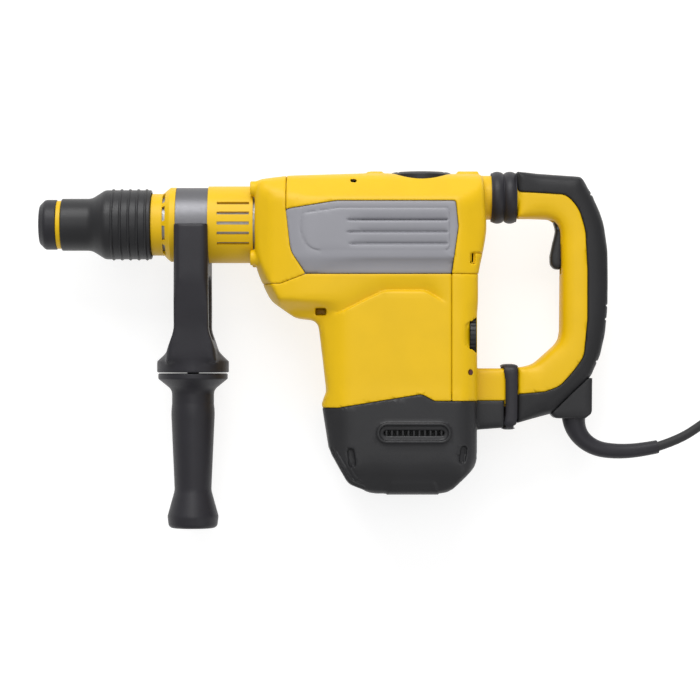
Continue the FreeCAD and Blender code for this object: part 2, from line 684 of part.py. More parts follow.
# side outline of the whole casing, clockwise from the nose
BODY = [(VENT_X1, 72, 0), (VENT_X1, 139, 3), (-52, 143.5, 8), (-28, 147, 20), (36, 149.4, 20),
        (134, 148.2, 4),
        (138, 101, 30), (HOUSING_BACK_X, 62, 40), (HOUSING_BACK_X, -96, 22), (104, BASE_Y, 22),
        (42, BASE_Y, 20),
        (20.5, -113, 12), (5, -86, 20), (-1.5, -45, 2), (2.5, -35, 3), (-4.5, 24.5, 9), (-24, 26.5, 18),
        (-46, 42, 20)]
FRONT = mirrored([(36, BASE_Y - 1, 14), (HALF_WIDTH, -92, 26), (HALF_WIDTH, 43, 0), (48.5, 49, 0),
                  (48.5, 58, 0),
                  (HALF_WIDTH, 66, 0), (HALF_WIDTH, 124, 14), (30, 146, 30), (8, 153, 20)])
GEAR_PLAN = mirrored_b([(VENT_X1, 34, 0), (-44, 44, 12), (-14, HALF_WIDTH, 40), (114, HALF_WIDTH, 10),
                        (139, 38, 12)])
MOTOR_PLAN = mirrored_b([(-60, 12, 8), (-34, 34, 20), (10, HALF_WIDTH, 30), (116, HALF_WIDTH, 4),
                         (HOUSING_BACK_X + 2, 38, 6)])
PANEL = [(-32, 117, 3), (10, 124.0, 30), (110, 124.0, 1.5), (113, 102, 12), (107, SEAM_Y, 0),
         (-14.5, SEAM_Y, 0), (-27, 82, 20)]


def inset(corners, by, plane="XY"):
    """The outline's face moved inwards by a wall thickness."""
    return outline(corners, plane).makeOffset2D(-by)


def casing(by=0.0):
    """Solid of the whole casing, or of the space inside its walls."""
    side = inset(BODY, by).extrude(V(0, 0, 2 * HALF_WIDTH + 4)) if by else slab(BODY, HALF_WIDTH + 2)
    if by:
        side.translate(V(0, 0, MID - HALF_WIDTH - 2))
    front = inset(FRONT, by, "ZY").extrude(V(220, 0, 0)) if by else outline(FRONT,
                                                                            "ZY").extrude(V(220, 0, 0))
    front.translate(V(-70, 0, MID))
    plans = []
    for plan, y0, y1 in ((GEAR_PLAN, 46, TOP_Y + 5), (MOTOR_PLAN, BASE_Y - 5, 46)):
        face = inset(plan, by, "XZ") if by else outline(plan, "XZ")
        plans.append(face.extrude(V(0, y1 - y0, 0)).translate(V(0, y0, MID)))
    cone = turned_x([(VENT_X1 - 1, 0, 0), (VENT_X1 - 1, VENT_R - by, 0), (VENT_X1 + 3, 47 - by, 4),
                     (VENT_X1 + 30, 90 - by, 0),
                     (VENT_X1 + 31, 330, 0), (250, 330, 0), (250, 0, 0)])
    return side.common(front).common(plans[0].fuse(plans[1])).common(cone)


CAP_TOP = [(-20, BASE_Y - 10, 0), (-20, -49, 0), (12, -48.7, 0), (82, -37.2, 4), (93, CAP_SEAM_Y, 3),
           (150, CAP_SEAM_Y, 0),
           (150, BASE_Y - 10, 0)]


def regions():
    """The casing's outer pieces as solids that fill it: each is later hollowed."""
    wide = HALF_WIDTH + 5
    front = slab([(-80, TOP_Y + 5, 0), (SPLIT_FRONT_X, TOP_Y + 5, 0), (SPLIT_FRONT_X, 117, 0), (-27, 82, 20),
                  (-14.5, SEAM_Y, 0),
                  (-36, 55, 0), (-80, 55, 0)], wide)
    return {"front": front, "cap": slab(CAP_TOP, wide),
            "rear": box(SPLIT_REAR_X, 170, CAP_SEAM_Y - 2, SEAM_Y, wide),
            "top": box(-80, 170, SEAM_Y, TOP_Y + 5, wide), "panel": slab(PANEL, wide)}


def side_panels(shell, room):
    """Grey side panels with three long finger grooves each."""
    both = shell.common(room)
    grooves = []
    for y, x0, x1 in ((108.0, 18, 104), (98.0, 18, 106), (88.0, 22, 103)):
        for side in (1, -1):
            groove = Part.makeCylinder(1.6, x1 - x0, V(x0, y, MID + side * (HALF_WIDTH + 0.7)), V(1, 0, 0))
            grooves.append(groove)
    both = both.cut(grooves)
    left = both.common(box(-80, 170, 0, TOP_Y + 5, HALF_WIDTH + 5, 0))
    right = both.common(box(-80, 170, 0, TOP_Y + 5, 0, -HALF_WIDTH - 5))
    return left, right


def louvres():
    """Air inlet slots through both sides of the end cap, one row of short bars each."""
    cuts = []
    for k in range(10):
        x = 52 + k * 5.0
        cuts.append(box(x, x + 3.2, -71.5, -67.5, HALF_WIDTH + 5, 30))
        cuts.append(box(x, x + 3.2, -71.5, -67.5, -30, -HALF_WIDTH - 5))
    return cuts


DIAL_BASE_Y = 139.0
DIAL_STEM_R = 6.0
SPEED_X0, SPEED_Y, SPEED_Z = 122.7, 12.0, 33.0
SPEED_R = 15.0
SPEED_THICK = 4.6


def housing_parts():
    """Front cover, top cover, side panels, motor housing, rear cover and end cap."""
    shell = casing().cut(casing(WALL))
    spindle_way = rod_x(-80, SPLIT_FRONT_X + 6, TUBE_R + 0.02)
    room = regions()
    dial_well = rod_y(DIAL_X, DIAL_BASE_Y - 1, TOP_Y + 5, DIAL_R + GAP)
    stem_way = rod_y(DIAL_X, 110, TOP_Y, DIAL_STEM_R + RUN)
    dial_floor = tube_y(DIAL_X, DIAL_BASE_Y - WALL - 0.5, DIAL_BASE_Y - 0.5, DIAL_R + 3, DIAL_STEM_R + RUN)
    dial_wall = tube_y(DIAL_X, DIAL_BASE_Y - 0.5, TOP_Y + 5, DIAL_R + 3, DIAL_R + GAP).common(casing())
    lugs = [rod_x(LUG_X0, VENT_X1 + 3, 6.0, y, z).cut(casing(WALL)) for y, z in LUGS]
    screw_ways = [rod_x(LUG_X0 - 1, VENT_X1 + 5, 2.0, y, z) for y, z in LUGS]
    screw_ways += [rod_x(LUG_X0 - 1, SCREW_SEAT_X, 4.1, y, z) for y, z in LUGS]
    front = joined([shell.common(room["front"])] + lugs).cut([spindle_way] + screw_ways)
    panel_left, panel_right = side_panels(shell, room["panel"].cut(room["front"]))
    top = shell.common(room["top"]).cut([room["front"], room["panel"], dial_well, stem_way])
    stub = tube_x(132, STUB_END_X, STUB_R, STUB_R - WALL, STUB_Y)
    ribs = [box(x0, x1, 144, TOP_Y - 0.5, 9) for x0, x1 in ((37, 50), (113, 131))]
    ribs = [r.cut(casing(WALL)) for r in ribs]
    top = joined([top, dial_floor, dial_wall] + ribs).cut([rod_y(DIAL_X, DIAL_BASE_Y - 0.5, TOP_Y + 5,
                                                                 DIAL_R + GAP)])
    top = joined([top, stub.cut(casing())])
    seat_y = STACK_Y - 42
    floor = casing(WALL - 0.5).common(box(-20, 140, seat_y - 5, seat_y - 2, HALF_WIDTH))
    seat = tube_y(MOTOR_X, seat_y - 2, seat_y + 7, 15.0, 11.0)
    hinge_notch = box(120, 170, PIVOT_Y - 7.3, PIVOT_Y + 8, 7.3)
    cap = joined([shell.common(room["cap"]).cut(louvres() + [hinge_notch]), floor, seat])
    webs = [casing(WALL - 0.5).common(box(-20, SPLIT_REAR_X, y, y + 3, HALF_WIDTH)) for y in (STACK_Y + 12,
                                                                                              STACK_Y + 45)]
    motor = shell.cut([room["front"], room["cap"], room["rear"], room["top"]])
    motor = joined([motor] + webs).cut(rod_y(MOTOR_X, STACK_Y, STACK_Y + STACK_LENGTH, STATOR_R))
    rear = shell.common(room["rear"]).cut(room["cap"])
    arm = slab([(126, -16, 0), (ARM_END_X, -16, 3), (ARM_END_X, -66, 3), (126, -68, 0)], HANDLE_HALF)
    inner = slab([(128, -19, 0), (ARM_END_X + 1, -19, 0), (ARM_END_X + 1, -63, 0), (128, -65, 0)],
                 HANDLE_HALF - WALL)
    tongue = joined([box(128, PIVOT_X, PIVOT_Y - 7, PIVOT_Y + 7, 7), rod_z(PIVOT_X, PIVOT_Y, -7, 7, 7.0)])
    tongue = tongue.cut(rod_z(PIVOT_X, PIVOT_Y, -10, 10, PIN_R + RUN))
    arm_keep = arm.cut([casing(), inner])
    upper_arm, lower_arm = arm_keep.cut(room["cap"]), arm_keep.common(room["cap"])
    lower_arm = lower_arm.cut(hinge_notch)
    dial_way = rod_x(SPEED_X0 - GAP, SPEED_X0 + SPEED_THICK + GAP, SPEED_R + 0.6, SPEED_Y, SPEED_Z)
    lamp_way = lamp_rod(2.2)
    rear = joined([rear, upper_arm, tongue]).cut([dial_way, lamp_way])
    return {"front_cover": front, "top_cover": top, "side_panel_left": panel_left,
            "side_panel_right": panel_right,
            "motor_housing": motor, "rear_cover": rear, "end_cap": joined([cap, lower_arm])}


CASE = [(-57, 68, 0), (-57, 138, 0), (-40, 139.5, 4), (8, 139.5, 4), (30, 128, 4), (104, 128, 4),
        (104, 46, 0), (-30, 46, 4),
        (-46, 54, 4)]


def gear_case():
    """Cast gearbox round the gears and the hammer cylinder."""
    half = 44.0
    body = slab(CASE, half).common(casing(WALL + 1.0))
    hollow = slab([(-53, 78, 0), (-53, 133, 0), (-39, 136.3, 3), (7, 136.3, 3), (29, 124.5, 3),
                   (100, 124.5, 3), (100, 40, 0),
                   (-28, 40, 0), (-42, 59, 3)], half - 4)
    seat = tube_x(-46, -30, TUBE_BORE_R + 4, TUBE_BORE_R)
    ways = [rod_x(-60, -46, TUBE_R), rod_x(-50, -30, TUBE_BORE_R),
            rod_y(DIAL_X, 110, 135, DIAL_STEM_R + RUN)]
    ways += [rod_x(LUG_X0, LUG_X0 + 20, 2.0, y, z) for y, z in LUGS]
    return joined([body.cut(hollow), seat]).cut(ways)


def mode_dial():
    """Round selector on top of the casing, with its grip bar, stem and eccentric pin."""
    top = TOP_Y - 1.0
    disc = turned_y([(0, DIAL_BASE_Y, 0), (DIAL_R, DIAL_BASE_Y, 0), (DIAL_R, top - 2.5, 1),
                     (DIAL_R - 4, top - 0.5, 2), (0, top, 0)], DIAL_X)
    scoops = [box(DIAL_X - 20, DIAL_X + 20, top - 6, top + 2, 16, 6),
              box(DIAL_X - 20, DIAL_X + 20, top - 6, top + 2, -6, -16)]
    stem = rod_y(DIAL_X, 116, DIAL_BASE_Y, DIAL_STEM_R)
    pin = rod_y(DIAL_X + 3, 108, 117, 2.0)
    return joined([disc.cut(scoops), stem, pin])


def speed_dial():
    """Knurled thumb dial that stands out of the rear cover's bevelled corner, on its shaft."""
    disc = rod_x(SPEED_X0, SPEED_X0 + SPEED_THICK, SPEED_R, SPEED_Y, SPEED_Z)
    cuts = []
    for i in range(24):
        notch = Part.makeBox(SPEED_THICK + 2, 1.2, 1.6,
                             V(SPEED_X0 - 1, SPEED_Y - 0.6, MID + SPEED_Z + SPEED_R - 0.8))
        notch.rotate(V(SPEED_X0, SPEED_Y, MID + SPEED_Z), V(1, 0, 0), i * 15.0)
        cuts.append(notch)
    shaft = rod_x(SPEED_X0 - 9, SPEED_X0, 3.0, SPEED_Y, SPEED_Z)
    return joined([disc.cut(cuts), shaft])


def speed_control():
    """Potentiometer that the dial's shaft turns in."""
    x1 = SPEED_X0 - 2.0
    body = box(x1 - 9, x1, SPEED_Y - 9, SPEED_Y + 9, SPEED_Z + 9, SPEED_Z - 9)
    return body.cut(rod_x(x1 - 8, x1 + 1, 3.0 + RUN, SPEED_Y, SPEED_Z))


LAMP_X, LAMP_Y, LAMP_Z = 121.5, -19.0, 44.0


def lamp_rod(r):
    """Rod along the bevel's outward direction at the service lamp."""
    way = V(1, 0, 0.85)
    return Part.makeCylinder(r, 8.0, V(LAMP_X, LAMP_Y, MID + LAMP_Z) - way * 4.0, way)


# ---------------------------------------------------------------- side handle
ARM_HALF = 15.0
ARM_TOP_Y = AXIS_Y


def clamp_band():
    """Steel strap over the top half of the nose, with a straight leg down inside each yoke arm."""
    x0, x1 = YOKE_X - BAND_WIDTH / 2 + 0.2, YOKE_X + BAND_WIDTH / 2 - 0.2
    inner = BAND_R - BAND_THICK
    hoop = tube_x(x0, x1, BAND_R, inner).common(box(x0 - 1, x1 + 1, AXIS_Y, TOP_Y + 9, 60))
    legs = [box(x0, x1, 70, AXIS_Y, BAND_R, inner), box(x0, x1, 70, AXIS_Y, -inner, -BAND_R)]
    return joined([hoop] + legs)


def yoke():
    """Fork with two arms beside the nose and a round foot for the grip."""
    inner = BAND_R + 0.15
    fork = front_slab(mirrored([(31, YOKE_BASE_Y + 14, 6), (33, 20, 20), (39.5, 60, 10),
                                (39.5, ARM_TOP_Y, 2), (inner, ARM_TOP_Y, 0),
                                (inner, 74, 0)]), YOKE_X - ARM_HALF, YOKE_X + ARM_HALF)
    saddle = rod_x(YOKE_X - ARM_HALF - 1, YOKE_X + ARM_HALF + 1, inner)
    collars = [rod_x(YOKE_X - ARM_HALF - 1, BAND_X0 + 0.1, COLLAR_R + GAP),
               rod_x(VENT_X0 - GAP, VENT_X1, VENT_R + GAP)]
    room = front_slab(mirrored([(14, 8, 6), (25, 62, 10)]), YOKE_X - ARM_HALF - 1, YOKE_X + ARM_HALF + 1)
    legs = [box(YOKE_X - BAND_WIDTH / 2, YOKE_X + BAND_WIDTH / 2, 69, AXIS_Y, BAND_R + 0.15,
                BAND_R - BAND_THICK - 0.15),
            box(YOKE_X - BAND_WIDTH / 2, YOKE_X + BAND_WIDTH / 2, 69, AXIS_Y, -BAND_R + BAND_THICK + 0.15,
                -BAND_R - 0.15)]
    foot = turned_y([(0, YOKE_BASE_Y, 0), (FLANGE_R, YOKE_BASE_Y, 1), (FLANGE_R, YOKE_BASE_Y + 9, 1.5),
                     (FLANGE_R - 6, YOKE_BASE_Y + 13, 2),
                     (20, YOKE_BASE_Y + 26, 12), (0, YOKE_BASE_Y + 26, 0)], YOKE_X)
    bolt_way = rod_y(YOKE_X, YOKE_BASE_Y - 1, 30, 5.0 + RUN)
    return joined([fork.cut([saddle, room] + collars + legs), foot.cut(room)]).cut([bolt_way])


def clamp_bolt():
    """Carriage bolt that pulls the band tight, from inside the yoke down into the grip."""
    head = box(YOKE_X - 10, YOKE_X + 10, 8.2, 14, 9)
    shank = rod_y(YOKE_X, YOKE_BASE_Y - 45, 9, 5.0)
    return joined([head, shank])


def side_grip():
    """Waisted hand grip with a guard lip at the top and a flared end."""
    top = YOKE_BASE_Y - 0.8
    body = turned_y([(0, GRIP_END_Y, 0), (20.5, GRIP_END_Y, 4), (21.7, GRIP_END_Y + 10, 6),
                     (15.6, GRIP_END_Y + 32, 14),
                     (18.7, GRIP_END_Y + 102, 60), (17.8, GRIP_END_Y + 106, 2), (17.8, top - 14, 8),
                     (29.5, top - 4.5, 1.5),
                     (29.5, top, 1.2), (0, top, 0)], YOKE_X)
    return body.cut(rod_y(YOKE_X, YOKE_BASE_Y - 50, top + 1, 5.0 + RUN))


# ---------------------------------------------------------------- D-handle
FORK_X = 163.2
HOLLOW_HALF = 13.5
D_OUTER = [(BOOT_X1 + 0.2, 150.3, 0), (218.5, 146.2, 7), (230.5, 124, 20), (240.3, 98, 24), (BACK_X, 50, 60),
           (237.5, 8, 30), (226.5, -22, 6),
           (194, -54, 8), (FORK_X, -62.5, 0)]
D_OPENING = [(FORK_X, -14.8, 0), (176, -13.0, 20), (199.5, 8, 16), (200, 66, 20), (199, 109.5, 12),
             (BOOT_X1 + 0.2, 110.5, 0)]
D_BLACK = [(150, 160, 0), (250, 160, 0), (250, -80, 0), (150, -80, 0), (150, -40, 0), (186, -36.5, 12),
           (203, -29, 12), (220.5, -5, 14),
           (222.7, 45, 60), (221.0, 105, 20), (209, 130.6, 12), (150, 133.8, 0)]
HANDLE = D_OUTER + D_OPENING


def handle_solid(half, by=0.0):
    face = outline(HANDLE, "XY")
    if by:
        face = face.makeOffset2D(-by)
    return face.extrude(V(0, 0, 2 * half)).translate(V(0, 0, MID - half))


SPRING_X0, SPRING_X1 = 136.0, 176.0
SHELL_SCREWS = [(186, 121), (211, 24), (207, -4), (186, -24)]


def black_room():
    return slab(D_BLACK, MOULD_HALF + 5)


TRIGGER_PIVOT = (199.0, 103.0)
TRIGGER = [(194.2, 108, 1.5), (198, 101, 8), (193.5, 84, 16), (192, 68, 3), (203, 66.5, 2), (205, 84, 4),
           (205, 106, 3)]


def handle_parts():
    """Two clamshells of the D-handle and the soft grip moulded over its back."""
    black = black_room()
    core = handle_solid(HANDLE_HALF).cut(black)
    under = handle_solid(MOULD_HALF - MOULD_THICK, MOULD_THICK).common(black)
    plug = rod_x(155.8, BOOT_X1 + 4, 17.5, STUB_Y)
    hollow = handle_solid(HOLLOW_HALF, MOULD_THICK + WALL)
    spring_seat = box(SPRING_X1 + 0.2, SPRING_X1 + 3.2, STUB_Y - 20, STUB_Y + 20,
                      HOLLOW_HALF + 1).common(handle_solid(HANDLE_HALF, WALL))
    spring_way = rod_x(150, SPRING_X1 + 0.2, 13.0, STUB_Y)
    hinge_way = box(150, 172, PIVOT_Y - 12, PIVOT_Y + 12, 9)
    pin_way = rod_z(PIVOT_X, PIVOT_Y, -20, 20, PIN_R)
    trigger_way = slab([(190, 110, 0), (190, 64, 0), (210, 64, 0), (210, 110, 0)], 8.6)
    bosses = [rod_z(x, y, -HANDLE_HALF, HANDLE_HALF, 5.5) for x, y in SHELL_SCREWS]
    screw_ways = [rod_z(x, y, -HANDLE_HALF, 8.0, 2.0) for x, y in SHELL_SCREWS]
    head_ways = [rod_z(x, y, -HANDLE_HALF - 1, -11.0, 4.3) for x, y in SHELL_SCREWS]
    whole = joined([joined([core, under, plug]).cut(hollow), spring_seat] + bosses)
    whole = whole.cut([spring_way, hinge_way, trigger_way] + screw_ways + head_ways)
    reach = FORK_X + 4
    ears = []
    for low, high in ((7.5, 15.0), (-15.0, -7.5)):
        lobe = rod_z(PIVOT_X, PIVOT_Y, low, high, 7.0)
        ears.append(joined([lobe, box(PIVOT_X, reach, PIVOT_Y - 7, PIVOT_Y + 7, high, low)]).cut(pin_way))
    wide = MOULD_HALF + 5
    left = joined([whole.common(box(140, 260, -90, 170, wide, 0)), ears[0]])
    right = joined([whole.common(box(140, 260, -90, 170, 0, -wide)), ears[1]])
    mould = handle_solid(MOULD_HALF).common(black)
    mould = mould.cut([handle_solid(MOULD_HALF - MOULD_THICK, MOULD_THICK), spring_way, hinge_way, left,
                       right])
    return {"handle_shell_left": left, "handle_shell_right": right, "grip_overmould": mould}


def pivot_pin():
    return rod_z(PIVOT_X, PIVOT_Y, -15.0, 15.0, PIN_R)


def trigger():
    body = slab(TRIGGER, 8.0)
    return body.cut(rod_z(*TRIGGER_PIVOT, -10, 10, 1.5 + RUN))


def switch():
    """Trigger switch block with the trigger's pivot pin through the shells."""
    block = slab([(211, 98, 1), (220, 98, 1), (220, 42, 1), (207, 42, 1), (207, 62, 1), (211, 62, 1)], 9.0)
    plunger = rod_x(208.8, 212, 2.5, 78)
    pin = rod_z(*TRIGGER_PIVOT, -8.6, 8.6, 1.5)
    return [joined([block, plunger]), pin]


def upper_boot():
    """Two-fold rubber bellows over the sprung upper joint."""
    mid = (BOOT_X0 + BOOT_X1) / 2
    y_r = BOOT_R
    fold = (BOOT_X1 - BOOT_X0) / 2
    outer = [(BOOT_X0, STUB_R + 1.6, 0.6), (BOOT_X0 + fold * 0.35, y_r, 2), (BOOT_X0 + fold * 0.75, y_r, 2),
             (mid, STUB_R + 1.6, 1),
             (mid + fold * 0.3, y_r, 2), (mid + fold * 0.7, y_r, 2), (BOOT_X1, STUB_R + 1.8, 0.6)]
    return turned_x(outer + [(BOOT_X1, STUB_R, 0), (BOOT_X0, STUB_R, 0)], STUB_Y)


def lower_boot():
    """Rubber band over the lower, pivoting joint."""
    outer = mirrored([(HANDLE_HALF + 2.2, -68.5, 4), (HANDLE_HALF + 2.2, -12.5, 4)])
    inner = mirrored([(HANDLE_HALF + 0.2, -66.7, 0), (HANDLE_HALF + 0.2, -14.5, 0)])
    return front_slab(outer, 148.5, FORK_X - 0.2).cut(front_slab(inner, 148, 164))


def damper_spring():
    return spring_x(SPRING_X0, SPRING_X1, 9.5, 1.5, 6, STUB_Y)


# ---------------------------------------------------------------- mains lead
GUARD = [(198, -58, 3), (227, -58, 5), (227.3, -28, 3), (219, -24, 0), (193, -52, 0)]
EXIT = V(212.5, -58.0, MID)
SLEEVE_ROUTE = [EXIT, V(215.5, -69.5, MID), V(222.8, -78.5, MID), V(232, -83.6, MID), V(244, -86, MID - 0.5),
                V(262, -86, MID - 1.5),
                V(284, -82.7, MID - 3.5)]
SLEEVE_RADII = [10.0, 8.6, 7.4, 6.8, 6.5, 6.3, 6.1, 5.9, SLEEVE_END_R]


def cable_guard():
    """Square block at the corner of the D-handle that holds the lead."""
    block = slab(GUARD, 14.0)
    return block.cut(handle_solid(MOULD_HALF + 1))


def bend_sleeve():
    """Tapered bend-protection sleeve through its route's points."""
    curve = Part.BSplineCurve()
    curve.interpolate(SLEEVE_ROUTE)
    length = curve.length()
    rings = []
    for i, r in enumerate(SLEEVE_RADII):
        at = curve.parameterAtDistance(length * i / (len(SLEEVE_RADII) - 1))
        rings.append(Part.Wire(Part.makeCircle(r, curve.value(at), V(*curve.tangent(at)[0]))))
    return Part.makeLoft(rings, True, False)


SLEEVE_END = SLEEVE_ROUTE[-1]
COIL_X, COIL_Y = 398.0, 56.0
COIL_MEAN_R = 50.0
COIL_TURNS_WIDE = 4
COIL_LAYERS = 3
CORD_Z = CORD_R + 0.1
CORD_ROUTE = [SLEEVE_END, V(303, -77.0, 44), V(325, -63.5, 35), V(350, -47, 21), V(376, -31, 8),
              V(402, -15.6, CORD_Z),
              V(427.3, -1, CORD_Z)]


def cord_tube(points, r):
    """Round tube along straight runs joined by tangent arcs, and its centreline's wire."""
    edges, last = [], points[0]
    for i in range(1, len(points) - 1):
        here = points[i]
        back, on = points[i - 1] - here, points[i + 1] - here
        shorter = min(back.Length, on.Length)
        back.normalize()
        on.normalize()
        half_turn = (math.pi - back.getAngle(on)) / 2
        run = 0.45 * shorter
        bend = run / math.tan(half_turn)
        start, end = here + back * run, here + on * run
        middle = here + (back + on).normalize() * (bend / math.cos(half_turn) - bend)
        edges += [Part.makeLine(last, start), Part.Arc(start, middle, end).toShape()]
        last = end
        print("bend radius", round(bend, 1))
    edges.append(Part.makeLine(last, points[-1]))
    path = Part.Wire(edges)
    ring = Part.Wire(Part.makeCircle(r, points[0], points[1] - points[0]))
    tube = path.makePipeShell([ring], True, False)
    print("tube volume", round(tube.Volume), "of", round(math.pi * r * r * path.Length), "length",
          round(path.Length, 1))
    return tube


def cable():
    return cord_tube(CORD_ROUTE, CORD_R)


def cable_coil():
    """Envelope of the coiled lead: the real turns lie inside it."""
    d = 2 * CORD_R
    half = COIL_TURNS_WIDE * d / 2
    r0, r1 = COIL_MEAN_R - half, COIL_MEAN_R + half
    top = COIL_LAYERS * d
    face = outline([(r0, 0, 3), (r1, 0, 3), (r1, top, 3), (r0, top, 3)], "XZ")
    face.translate(V(COIL_X, COIL_Y, 0))
    return face.revolve(V(COIL_X, COIL_Y, 0), V(0, 0, 1), 360)


def plug():
    """Two-pin mains plug that lies on the coil."""
    y = COIL_Y + COIL_MEAN_R
    z = COIL_LAYERS * 2 * CORD_R + 17.6
    body = Part.makeCylinder(17.5, 30, V(COIL_X - 20, y, z), V(1, 0, 0))
    neck = Part.makeCone(11, 6.0, 26, V(COIL_X + 10, y, z), V(1, 0, 0))
    pins = [Part.makeCylinder(2.4, 19, V(COIL_X - 39, y + s * 9.5, z), V(1, 0, 0)) for s in (-1, 1)]
    return [joined([body, neck])] + pins


# ---------------------------------------------------------------- fasteners
def shell_screws():
    """Screws of the D-handle's shells, put in from the right."""
    return [screw_z(x, y, -11.0, 18, way=1) for x, y in SHELL_SCREWS]


def nose_screws():
    """Screws along X that hold the front cover and the gearbox together."""
    screws = []
    for y, z in LUGS:
        head = rod_x(SCREW_SEAT_X - 3.2, SCREW_SEAT_X, 3.8, y, z)
        shank = rod_x(SCREW_SEAT_X, SCREW_SEAT_X + 16, 2.0, y, z)
        socket = outline([(2.0 * math.cos(k * math.pi / 3), 2.0 * math.sin(k * math.pi / 3),
                           0) for k in range(6)], "ZY")
        socket.translate(V(SCREW_SEAT_X - 3.3, y, MID + z))
        screws.append(joined([head, shank]).cut(socket.extrude(V(2.2, 0, 0))))
    return screws


def service_lamp():
    """Small round lens set flush in the bevel."""
    lens = lamp_rod(2.2)
    return lens.common(casing()).cut(casing(WALL + 1))


def build():
    parts = {
        "dust_cap": dust_cap(), "lock_ring": lock_ring(), "lock_sleeve": lock_sleeve(),
             "sleeve_spring": sleeve_spring(),
        "spindle": spindle(), "locking_rollers": locking_rollers(), "impact_bolt": impact_bolt(),
             "striker": striker(),
        "piston": piston(), "wrist_pin": wrist_pin(), "connecting_rod": con_rod(),
             "crank_gear": crank_gear(),
        "intermediate_gear": intermediate_gear(), "bevel_pinion": bevel_pinion(), "ring_gear": ring_gear(),
        "gear_plate": gear_plate(), "ball_bearings": ball_bearings(),
        "armature_shaft": armature_shaft(), "armature_core": armature_core(), "commutator": commutator(),
             "fan": fan(),
        "stator_core": stator_core(), "field_coils": field_coils(), "brush_holders": brush_holders(),
        "carbon_brushes": carbon_brushes(), "control_module": control_module(), "nose_tube": nose_tube(),
        "neck_cover": neck_cover(), "vent_collar": vent_collar(), "gear_case": gear_case(),
             "mode_dial": mode_dial(),
        "speed_dial": speed_dial(), "clamp_band": clamp_band(), "handle_yoke": yoke(),
             "clamp_bolt": clamp_bolt(),
        "side_grip": side_grip(), "pivot_pin": pivot_pin(), "trigger": trigger(), "trigger_switch": switch(),
        "upper_boot": upper_boot(), "lower_boot": lower_boot(), "damper_spring": damper_spring(),
        "cable_guard": cable_guard(), "bend_sleeve": bend_sleeve(), "cable": cable(),
             "cable_coil": cable_coil(),
        "plug": plug(),
        "shell_screws": shell_screws(), "nose_screws": nose_screws(), "service_lamp": service_lamp(),
    }
    parts.update(housing_parts())
    parts.update(handle_parts())
    return parts


os.makedirs("parts", exist_ok=True)
for name, shape in build().items():
    solids = shape if isinstance(shape, list) else shape.Solids
    out = solids[0] if len(solids) == 1 else Part.makeCompound(solids)
    faults = "" if solids and all(s.isValid() and s.Volume > 0 for s in solids) else "BAD"
    size = out.BoundBox
    print(f"{name:20s} {len(solids):3d} solids {out.Volume / 1000:7.1f} cm3 {faults}"
          f" x {size.XMin:7.1f} {size.XMax:7.1f} y {size.YMin:7.1f} {size.YMax:7.1f} z {size.ZMin:6.1f} {size.ZMax:6.1f}")
    out.exportStep(f"parts/{name}.step")
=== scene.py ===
"""Blender model of a corded rotary hammer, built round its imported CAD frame.

The tool lies on its right side: +X runs from the nose to the D-handle, +Y to the top of the tool
in use, +Z out of its left side. Sizes inside the functions are millimetres, meshes are metres.
"""
import json
import math

import bmesh
import bpy
import numpy as np
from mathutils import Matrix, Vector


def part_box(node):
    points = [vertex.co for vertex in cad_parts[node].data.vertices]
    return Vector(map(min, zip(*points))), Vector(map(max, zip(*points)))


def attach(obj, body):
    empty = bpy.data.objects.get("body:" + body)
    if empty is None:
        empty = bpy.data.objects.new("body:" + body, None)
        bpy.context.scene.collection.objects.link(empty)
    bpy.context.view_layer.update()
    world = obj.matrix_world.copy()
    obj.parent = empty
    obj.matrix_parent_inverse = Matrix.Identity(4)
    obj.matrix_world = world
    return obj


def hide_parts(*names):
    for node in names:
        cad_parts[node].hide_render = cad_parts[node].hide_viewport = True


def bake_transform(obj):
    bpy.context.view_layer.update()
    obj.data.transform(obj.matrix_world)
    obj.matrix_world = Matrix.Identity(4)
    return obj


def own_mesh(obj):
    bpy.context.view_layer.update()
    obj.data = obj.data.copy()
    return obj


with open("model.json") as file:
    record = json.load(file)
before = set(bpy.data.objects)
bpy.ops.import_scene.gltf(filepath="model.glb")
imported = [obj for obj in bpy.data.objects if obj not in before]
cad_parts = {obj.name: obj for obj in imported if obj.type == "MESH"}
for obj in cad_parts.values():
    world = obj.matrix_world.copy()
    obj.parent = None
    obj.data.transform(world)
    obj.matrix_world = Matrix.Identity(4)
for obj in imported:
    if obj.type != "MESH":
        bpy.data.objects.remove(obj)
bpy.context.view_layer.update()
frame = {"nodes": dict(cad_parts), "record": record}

import openvdb
from mathutils import Matrix, Vector

bl_info = {
    "name": "Rotary hammer",
    "version": (1, 0, 0),
    "blender": (4, 5, 0),
    "location": "3D View > Sidebar > Hammer",
    "description": "Builds a corded rotary hammer round its CAD frame",
    "category": "Object",
}

MM = 0.001


def span(node):
    """Lowest and highest corner of a CAD node, in millimetres."""
    low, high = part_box(node)
    return np.array(low) / MM, np.array(high) / MM


def centre(node):
    low, high = span(node)
    return (low + high) / 2


AXIS_Y, MID = centre("lock_ring")[1:]
HALF_WIDTH = span("side_panel_left")[1][2] - MID
BACK_X = span("grip_overmould")[1][0]
TOP_Y = span("upper_boot")[1][1]
STUB_Y = centre("upper_boot")[1]
STUB_R = 18.7
PIVOT_X, PIVOT_Y = 158.0, -41.0          # hinge of the D-handle
LUGS = [(dy, dz) for dy in (29.0, -29.0) for dz in (26.0, -26.0)]   # nose screws, from the axis
YOKE_X = centre("side_grip")[0]
YOKE_BASE_Y = span("side_grip")[1][1] + 0.8
CASE_X0 = span("vent_collar")[1][0]
SPLIT_REAR_X = 107.0
SPLIT_FRONT_X = -31.0
SEAM_Y = 63.0
CAP_SEAM_Y = -43.0
BASE_Y = -121.5
WALL = 3.0
SEAM = 0.10               # half the gap between two mouldings
VENT_R = 32.6
BAND_R = 31.3


